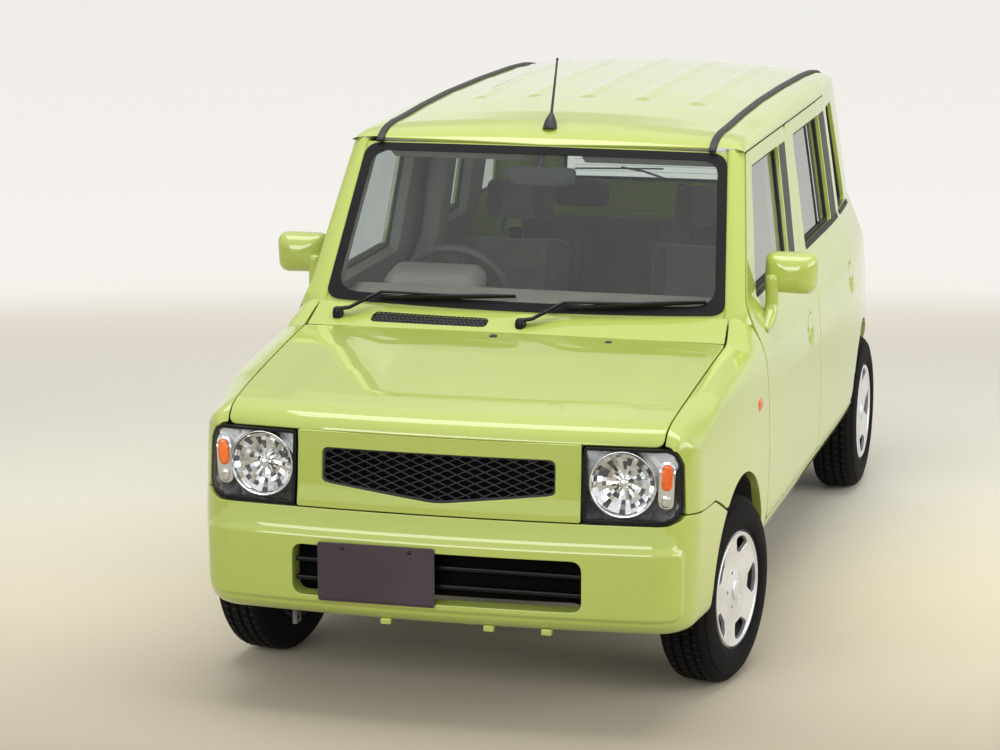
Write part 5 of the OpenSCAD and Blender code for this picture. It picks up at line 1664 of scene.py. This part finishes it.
slot_cell = block((13, 3.2, 3.0), 0.6, 1)
slot_place, slot_turn = [], []
for k in range(60):
    for z, skew, shift in ((-40, 14, 0), (-15, -10, 1.5), (15, 10, 3), (40, -14, 4.5)):
        a = 2 * np.pi * (k + shift / 6) / 60
        slot_place.append((264.9 * math.cos(a), 264.9 * math.sin(a), z))
        outward = Matrix.Rotation(a, 3, "Z") @ Matrix.Rotation(math.radians(90), 3, "Y")
        slot_turn.append(outward @ Matrix.Rotation(math.radians(skew), 3, "Z"))
print("tread slots", len(slot_place))

# %% [markdown]
# The cover is a shallow silver dish that reaches the bead. Five openings near its edge show the dark rim
# behind, and five slots ring the hub. A raised band and a plain centre cap finish it.

# %% Wheel covers and rims
COVER_R = 171


def cover_height(r):
    return np.interp(r, [0, 30, 44, 62, 98, 120, 143, 158, 171], [68, 67, 64, 61, 63, 66, 68, 70, 64])


def cover_face(uv):
    r = np.hypot(uv[:, 0], uv[:, 1])
    a = np.arctan2(uv[:, 1], uv[:, 0])
    spoke = 0.5 + 0.5 * np.cos(5 * a)
    dish = 4 * spoke * np.clip((r - 60) / 40, 0, 1) * np.clip((150 - r) / 30, 0, 1)
    return np.stack([uv[:, 0], uv[:, 1], cover_height(r) - dish], 1)


def spot(r, a):
    return (r * math.cos(math.radians(a)), r * math.sin(math.radians(a)))


def window(a):
    return rounded([spot(106, a - 11) + (9,), spot(151, a - 21) + (14,), spot(158, a) + (90,),
                    spot(151, a + 21) + (14,), spot(106, a + 11) + (9,)], n=5)


def hub_slot(a):
    return rounded([spot(48, a - 9) + (3,), spot(58, a - 9) + (4,), spot(58, a + 9) + (4,),
                    spot(48, a + 9) + (3,)], n=3)


round_line = np.array([spot(COVER_R - 2, a) for a in np.linspace(0, 360, 90, endpoint=False)])
wheel_holes = [window(72 * k + 18) for k in range(5)] + [hub_slot(72 * k + 54) for k in range(5)]
cover_shape = panel(cover_face, round_line, wheel_holes, 9, 2, 12, 12, 5)
cap = lathe([(31, 64), (31, 68), (29, 71), (24, 72.5), (0.01, 73)], 32)
band_ring = lathe([(162, 68), (164, 71), (160, 73), (154, 71.5), (153, 68)], 72)
rim_shape = lathe([(40, -30), (110, -34), (150, -20), (152, -66), (166, -72), (171, -74), (172, -70),
                   (165, -62), (160, 0), (164, 58), (171, 66), (172, 70), (168, 70), (152, 54), (148, 20),
                   (100, 28), (40, 30), (0.01, 30)], 60)
barrel = lathe([(60, -34), (60, 40), (0.01, 44)], 24)
bolt = lathe([(9, 28), (9, 40), (7, 43), (0.01, 44)], 6)
bolts = sum((bolt.moved((*spot(52, 90 * k), 0)) for k in range(1, 4)), bolt.moved((*spot(52, 0), 0)))
wheel_count = 0
for end, front in (("front", True), ("rear", False)):
    for hand, left in (("left", True), ("right", False)):
        body = f"wheel_{end}_{hand}"
        place, out = wheel_place(front, left)
        piece(f"tyre_{end}_{hand}_skin", tyre.moved(place, out), tyre_rubber, body, "tyre",
              (f"tyre_{end}_{hand}",))
        faces = cover_shape.finish(0) + cap.finish(0) + band_ring.finish(0)
        piece(f"wheel_{end}_{hand}_cover", faces.moved(place, out), cover_silver, body, "cover")
        steel = rim_shape.finish(0) + barrel.finish(0) + bolts.finish(0)
        piece(f"wheel_{end}_{hand}_rim", steel.moved(place, out), cover_dark, body, "cover",
              (f"wheel_{end}_{hand}",))
        spots = [np.array(out) @ np.array(q) + np.array(place) for q in slot_place]
        repeat(f"tyre_{end}_{hand}_slots", slot_cell, spots, [(out @ r).to_euler()[:] for r in slot_turn],
               seal_rubber, body)
        wheel_count += 1
print("wheels", wheel_count, "tyre faces", len(tyre.f))

# %% [markdown]
# Seats are foam under woven cloth. Each pad starts as a rounded block a little smaller than its solid, is
# given an even skin of small faces, and swells under pressure in the cloth solver. How far a point may
# move is capped. The sewn channels are pressed in afterwards, since the even skin would lose them.

# %% Padded pieces
SKIN = 0.009


def soft_pad(size, cap, round_by=38):
    """A swollen pad in its own frame, in metres, as points and faces."""
    start = block([s - 1.2 * cap for s in size], round_by, 4)
    mesh = bpy.data.meshes.new("pad_start")
    mesh.from_pydata((start.v * MM).tolist(), [], start.f)
    obj = bpy.data.objects.new("pad_start", mesh)
    scene.collection.objects.link(obj)
    skin = obj.modifiers.new("skin", "REMESH")
    skin.mode, skin.voxel_size = "VOXEL", SKIN
    even = bpy.data.meshes.new_from_object(obj.evaluated_get(bpy.context.evaluated_depsgraph_get()))
    obj.modifiers.remove(skin)
    obj.data = even
    rest = np.array([v.co for v in even.vertices])
    moved = rest
    cloth = obj.modifiers.new("cloth", "CLOTH")
    cloth.settings.use_pressure = True
    cloth.settings.uniform_pressure_force = 4
    cloth.settings.effector_weights.gravity = 0
    cloth.point_cache.frame_start, cloth.point_cache.frame_end = 1, 20
    for f in range(1, 21):
        scene.frame_set(f)
    done = obj.evaluated_get(bpy.context.evaluated_depsgraph_get()).to_mesh()
    moved = np.array([v.co for v in done.vertices])
    obj.modifiers.remove(cloth)
    scene.frame_set(1)
    step = moved - rest
    far = np.linalg.norm(step, axis=1, keepdims=True)
    step = step * np.minimum(1, cap * MM / np.maximum(far, 1e-9))
    faces = [tuple(p.vertices) for p in even.polygons]
    bpy.data.objects.remove(obj)
    return (rest + step) * 1000, faces


def channel(v, normal_axis, sign, across, places, depth=9):
    """Sewn channels: valleys in the cloth that faces one way, at these places across."""
    top = np.clip(sign * v[:, normal_axis] / (np.abs(v[:, normal_axis]).max() * 0.5), 0, 1)
    for c in places:
        v[:, normal_axis] -= sign * depth * top * np.exp(-((v[:, across] - c) / 8) ** 2)
    return v


def pad_piece(name, v, faces, place, tilt, replaces=()):
    shape = Shape(v, faces).moved(place, turn(tilt))
    obj = piece(name, shape, [seat_cloth, seat_side], slot="seat", replaces=replaces)
    middle = np.array([v[list(q)].mean(0) for q in faces])
    half_wide = np.abs(v[:, 0]).max()
    obj.data.polygons.foreach_set("material_index",
                                  (np.abs(middle[:, 0]) > half_wide - 62).astype(int).tolist())
    smooth = obj.modifiers.new("smooth", "SUBSURF")
    smooth.levels = smooth.render_levels = 1
    return obj


def on_back(foot, lean, offset):
    """A place on a seat's back, which leans about its foot."""
    return np.array(foot) + np.array(lean) @ np.array(offset)


cushion_v, cushion_f = soft_pad((444, 480, 150), 20)
back_v, back_f = soft_pad((414, 125, 550), 20)
rest_v, rest_f = soft_pad((250, 84, 146), 14, 30)
cushion_v = channel(channel(cushion_v, 2, 1, 0, (-118, 118)), 2, 1, 1, (70,), 6)
back_v = channel(channel(back_v, 1, -1, 0, (-112, 112)), 1, -1, 2, (120,), 6)
lean = turn(-16)
for hand, x in (("left", 320), ("right", -320)):
    swap = ("front_seats",)
    pad_piece(f"seat_cushion_{hand}", cushion_v, cushion_f, (x, 85, 422), 3, replaces=swap)
    foot = (x, 300, 470)
    pad_piece(f"seat_back_{hand}", back_v, back_f, on_back(foot, lean, (0, 5, 285)), -16)
    pad_piece(f"seat_headrest_{hand}", rest_v, rest_f, on_back(foot, lean, (0, 5, 660)), -16)
post = lathe([(6, 0), (6, 70)], 12)
posts, bases = no_shape(), no_shape()
for x in (-320, 320):
    for dx in (-53, 53):
        posts = posts + post.moved(on_back((x, 300, 470), lean, (dx, 5, 540)), lean)
    bases = bases + block((396, 410, 44), 10, 2).moved((x, 90, 323))
piece("seat_posts", posts, trim, slot="seat")
piece("seat_bases", bases, trim, slot="seat")
bench_v, bench_f = soft_pad((790, 440, 136), 18, 34)
bench_back_v, bench_back_f = soft_pad((1030, 104, 474), 18, 34)
bench_rest_v, bench_rest_f = soft_pad((214, 76, 108), 12, 26)
bench_v = channel(channel(bench_v, 2, 1, 0, (-130, 130)), 2, 1, 1, (40,), 5)
bench_back_v = channel(bench_back_v, 1, -1, 0, (-260, 0, 260))
bench_lean = turn(-14)
pad_piece("bench_cushion", bench_v, bench_f, (0, 850, 472), 3, replaces=("rear_seat",))
bench_back_place = on_back((0, 1060, 510), bench_lean, (0, 5, 240))
pad_piece("bench_back", bench_back_v, bench_back_f, bench_back_place, -14)
for hand, x in (("left", 280), ("right", -280)):
    pad_piece(f"bench_headrest_{hand}", bench_rest_v, bench_rest_f,
              on_back((x, 1060, 510), bench_lean, (0, 10, 526)), -14)
piece("bench_base", block((956, 236, 100), 12, 2).moved((0, 780, 352)), carpet, slot="seat")
print("pads done", len(cushion_f), len(bench_f))

# %% [markdown]
# The dashboard is a moulded shelf across the car, grained to kill reflections in the windscreen, with a
# hood over the instruments, four air vents and a middle panel. The steering wheel has a padded rim, a hub
# and three spokes, and turns in its own plane.

# %% Dashboard and steering wheel
dash_line = rounded([(-745, 700, 10), (-745, 928, 14), (-690, 984, 30), (-560, 999, 60), (-440, 964, 30),
                     (-402, 900, 30), (-430, 720, 40), (-520, 642, 30), (-700, 642, 20)], n=8)
dash = rows([[(x, y, z) for y, z in dash_line] for x in np.linspace(-556, 556, 40)], 0, True, True)
hood = block((300, 170, 96), 44, 5).moved((-345, -452, 985), turn(8))
steer_hub, steer_tilt = (-345, -207, 919), turn(-65)
column = lathe([(34, -292), (34, -90), (30, -60), (22, -52)], 28).moved(steer_hub, steer_tilt)
centre = block((230, 50, 250), 14, 3).moved((0, -420, 830), turn(-9))
piece("dash_shelf", dash + hood + column, dash_light, slot="dash", replaces=("dashboard",))
piece("dash_centre", centre, dash_grain, slot="dash")
slat = block((104, 12, 3), 1, 1)
vent_spots = [(x, -404, 878 + 9 * k) for x in (-480, -70, 70, 480) for k in range(6)]
repeat("dash_vents", slat, vent_spots, [(0.3, 0, 0)] * len(vent_spots), trim)
dial = lathe([(44, 0), (44, 5), (40, 5), (39, 1), (0.01, 1)], 32)
dials = dial.moved((-395, -372, 972), turn(70)) + dial.moved((-295, -372, 972), turn(70))
piece("dash_dials", dials, gloss_black, slot="dash")
ring_a = np.linspace(0, 2 * np.pi, 64, endpoint=False)
tube = np.linspace(0, 2 * np.pi, 14, endpoint=False)
rim_ring = rows([[((157 + 14.5 * math.cos(b)) * math.cos(a), (157 + 14.5 * math.cos(b)) * math.sin(a),
                   14.5 * math.sin(b)) for b in tube]
                 for a in np.append(ring_a, 2 * np.pi)], 0, True)
spokes = no_shape()
for a in (90 + 115, 90 - 115, 270):
    d = np.array((math.cos(math.radians(a)), math.sin(math.radians(a)), 0))
    spokes = spokes + sweep([d * r + (0, 0, z) for r, z in ((40, -12), (90, -8), (150, 0))], 1.0,
                            section=[(-17, 4), (-17, -4), (-13, -6), (13, -6), (17, -4), (17, 4)])
hub_pad = block((140, 110, 44), 20, 4).moved((0, -4, -12))
piece("steering_rim", (rim_ring + spokes + hub_pad).moved(steer_hub, steer_tilt), dash_grain,
      "steering_wheel", "dash", ("steering_wheel",))
glass_line = rounded([(-110, -28), (110, -28), (110, 28), (-110, 28)], 18)
mirror_back = pillow(glass_line, 14, 26, 9, 2, 8).moved((-9, -474, 1328), turn(90))
mirror_front = pillow(inset(glass_line, 3), 1, 20, 14, 0.6, 6).moved((-9, -463, 1328), turn(90, 0, 180))
stalk = sweep([(-9, -474, 1340), (-9, -462, 1380), (-9, -440, 1420)], 7, 10)
piece("inner_mirror_shell", mirror_back + stalk, trim, slot="trim_black", replaces=("inner_mirror",))
piece("inner_mirror_glass", mirror_front, mirror_glass, slot="glass")
print("dashboard", len(dash.f))

# %% [markdown]
# Inside, the doors carry moulded trim, the roof a pale felt lining and the floor a dark carpet with the
# usual tunnel down the middle. The centre posts stand between the doors, and sun visors fold up against
# the lining.

# %% Linings
def inner_side(surf, d):
    """A surface seen from inside the car, d behind its outer skin. Its u runs the other way."""
    back = below(surf, d)
    return lambda uv: back(uv * [-1, 1])


def flipped(line):
    return (np.asarray(line) * [-1, 1])[::-1]


for kind, line, window in (("front", front_door_line, front_window), ("rear", rear_door_line, rear_window)):
    card = panel(inner_side(side, 62), flipped(inset(line, 9)), [flipped(inset(window, -6))[::-1]], 30, 5,
                 40, 34)
    pair(f"door_{kind}_card", card, dash_light, BODIES[kind], slot="dash")
    mid = float(np.mean(line[:, 0]))
    x = float(side(np.array([[mid, 760.0]]))[0, 0]) - 84
    rest = block((46, 420, 60), 18, 3).moved((x, mid, 742))
    pair(f"door_{kind}_armrest", rest, dash_grain, BODIES[kind], slot="dash")
lining_line = rounded([(-498, -440, 30), (498, -440, 30), (498, 1440, 40), (-498, 1440, 40)])


def plain_roof(uv):
    return np.stack([uv[:, 0], uv[:, 1], roof_z(uv[:, 0], uv[:, 1])], 1)


headliner = panel(inner_side(plain_roof, 32), flipped(lining_line), (), 60, 6, 16)
piece("roof_liner", headliner, lining, slot="seat")
visor = block((420, 20, 150), 9, 3)
piece("sun_visors", visor.moved((-300, -385, 1392), turn(62)) + visor.moved((300, -385, 1392), turn(62)),
      lining, slot="seat")


def floor_mat(uv):
    hump = np.clip(1 - np.abs(uv[:, 0]) / 130, 0, 1)
    return np.stack([uv[:, 0], uv[:, 1], 304 + 60 * hump * hump * (3 - 2 * hump)], 1)


mat_line = rounded([(-585, -700, 40), (585, -700, 40), (585, 905, 30), (-585, 905, 30)])
piece("floor_carpet", panel(floor_mat, mat_line, (), 45, 3, 4), carpet, slot="structure")


def flat_at(z):
    return lambda uv: np.stack([uv[:, 0], uv[:, 1], np.full(len(uv), float(z))], 1)


load_line = rounded([(-400, 1110, 20), (400, 1110, 20), (400, 1590, 20), (-400, 1590, 20)])
piece("load_carpet", panel(flat_at(499), load_line, (), 60, 3, 4), carpet, slot="structure")
post_rows = []
for z in np.linspace(342, 1404, 24):
    x1 = float(side(np.array([[225.0, z]]))[0, 0]) - 84
    ring_line = rounded([(x1 - 66, 168), (x1, 168), (x1, 282), (x1 - 66, 282)], 16, 4)
    post_rows.append([(x, y, z) for x, y in ring_line])
centre_post = rows(post_rows, 0, True, True)
jack = block((60, 60, 14), 4, 2)
pair("centre_post", centre_post, dash_light, slot="paint", replaces=("sills",))
pair("jack_pads", jack.moved((655, -530, 297)) + jack.moved((655, 830, 297)), under_black, slot="paint")
print("linings done")

# %% [markdown]
# What nobody sees from the kerb stays as it was built: floor, bulkhead, rails, engine, axles, exhaust and
# tank. These keep their solids and only get a finish: primer grey that gathers dust, cast metal, black
# chassis paint and heat-stained steel.

# %% Finishes below
FINISH_OF = {"floor_pan": body_grey, "bulkhead": body_grey, "front_rails": body_grey, "engine": cast_metal,
             "front_crossmember": under_black, "rear_axle_beam": under_black, "knuckle_left": under_black,
             "knuckle_right": under_black, "exhaust": pipe_steel, "fuel_tank": under_black,
             "wheel_liners": under_black}
for name, mat in FINISH_OF.items():
    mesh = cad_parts[name].data
    mesh.materials.clear()
    mesh.materials.append(mat)
print("solids that stay", sorted(FINISH_OF))
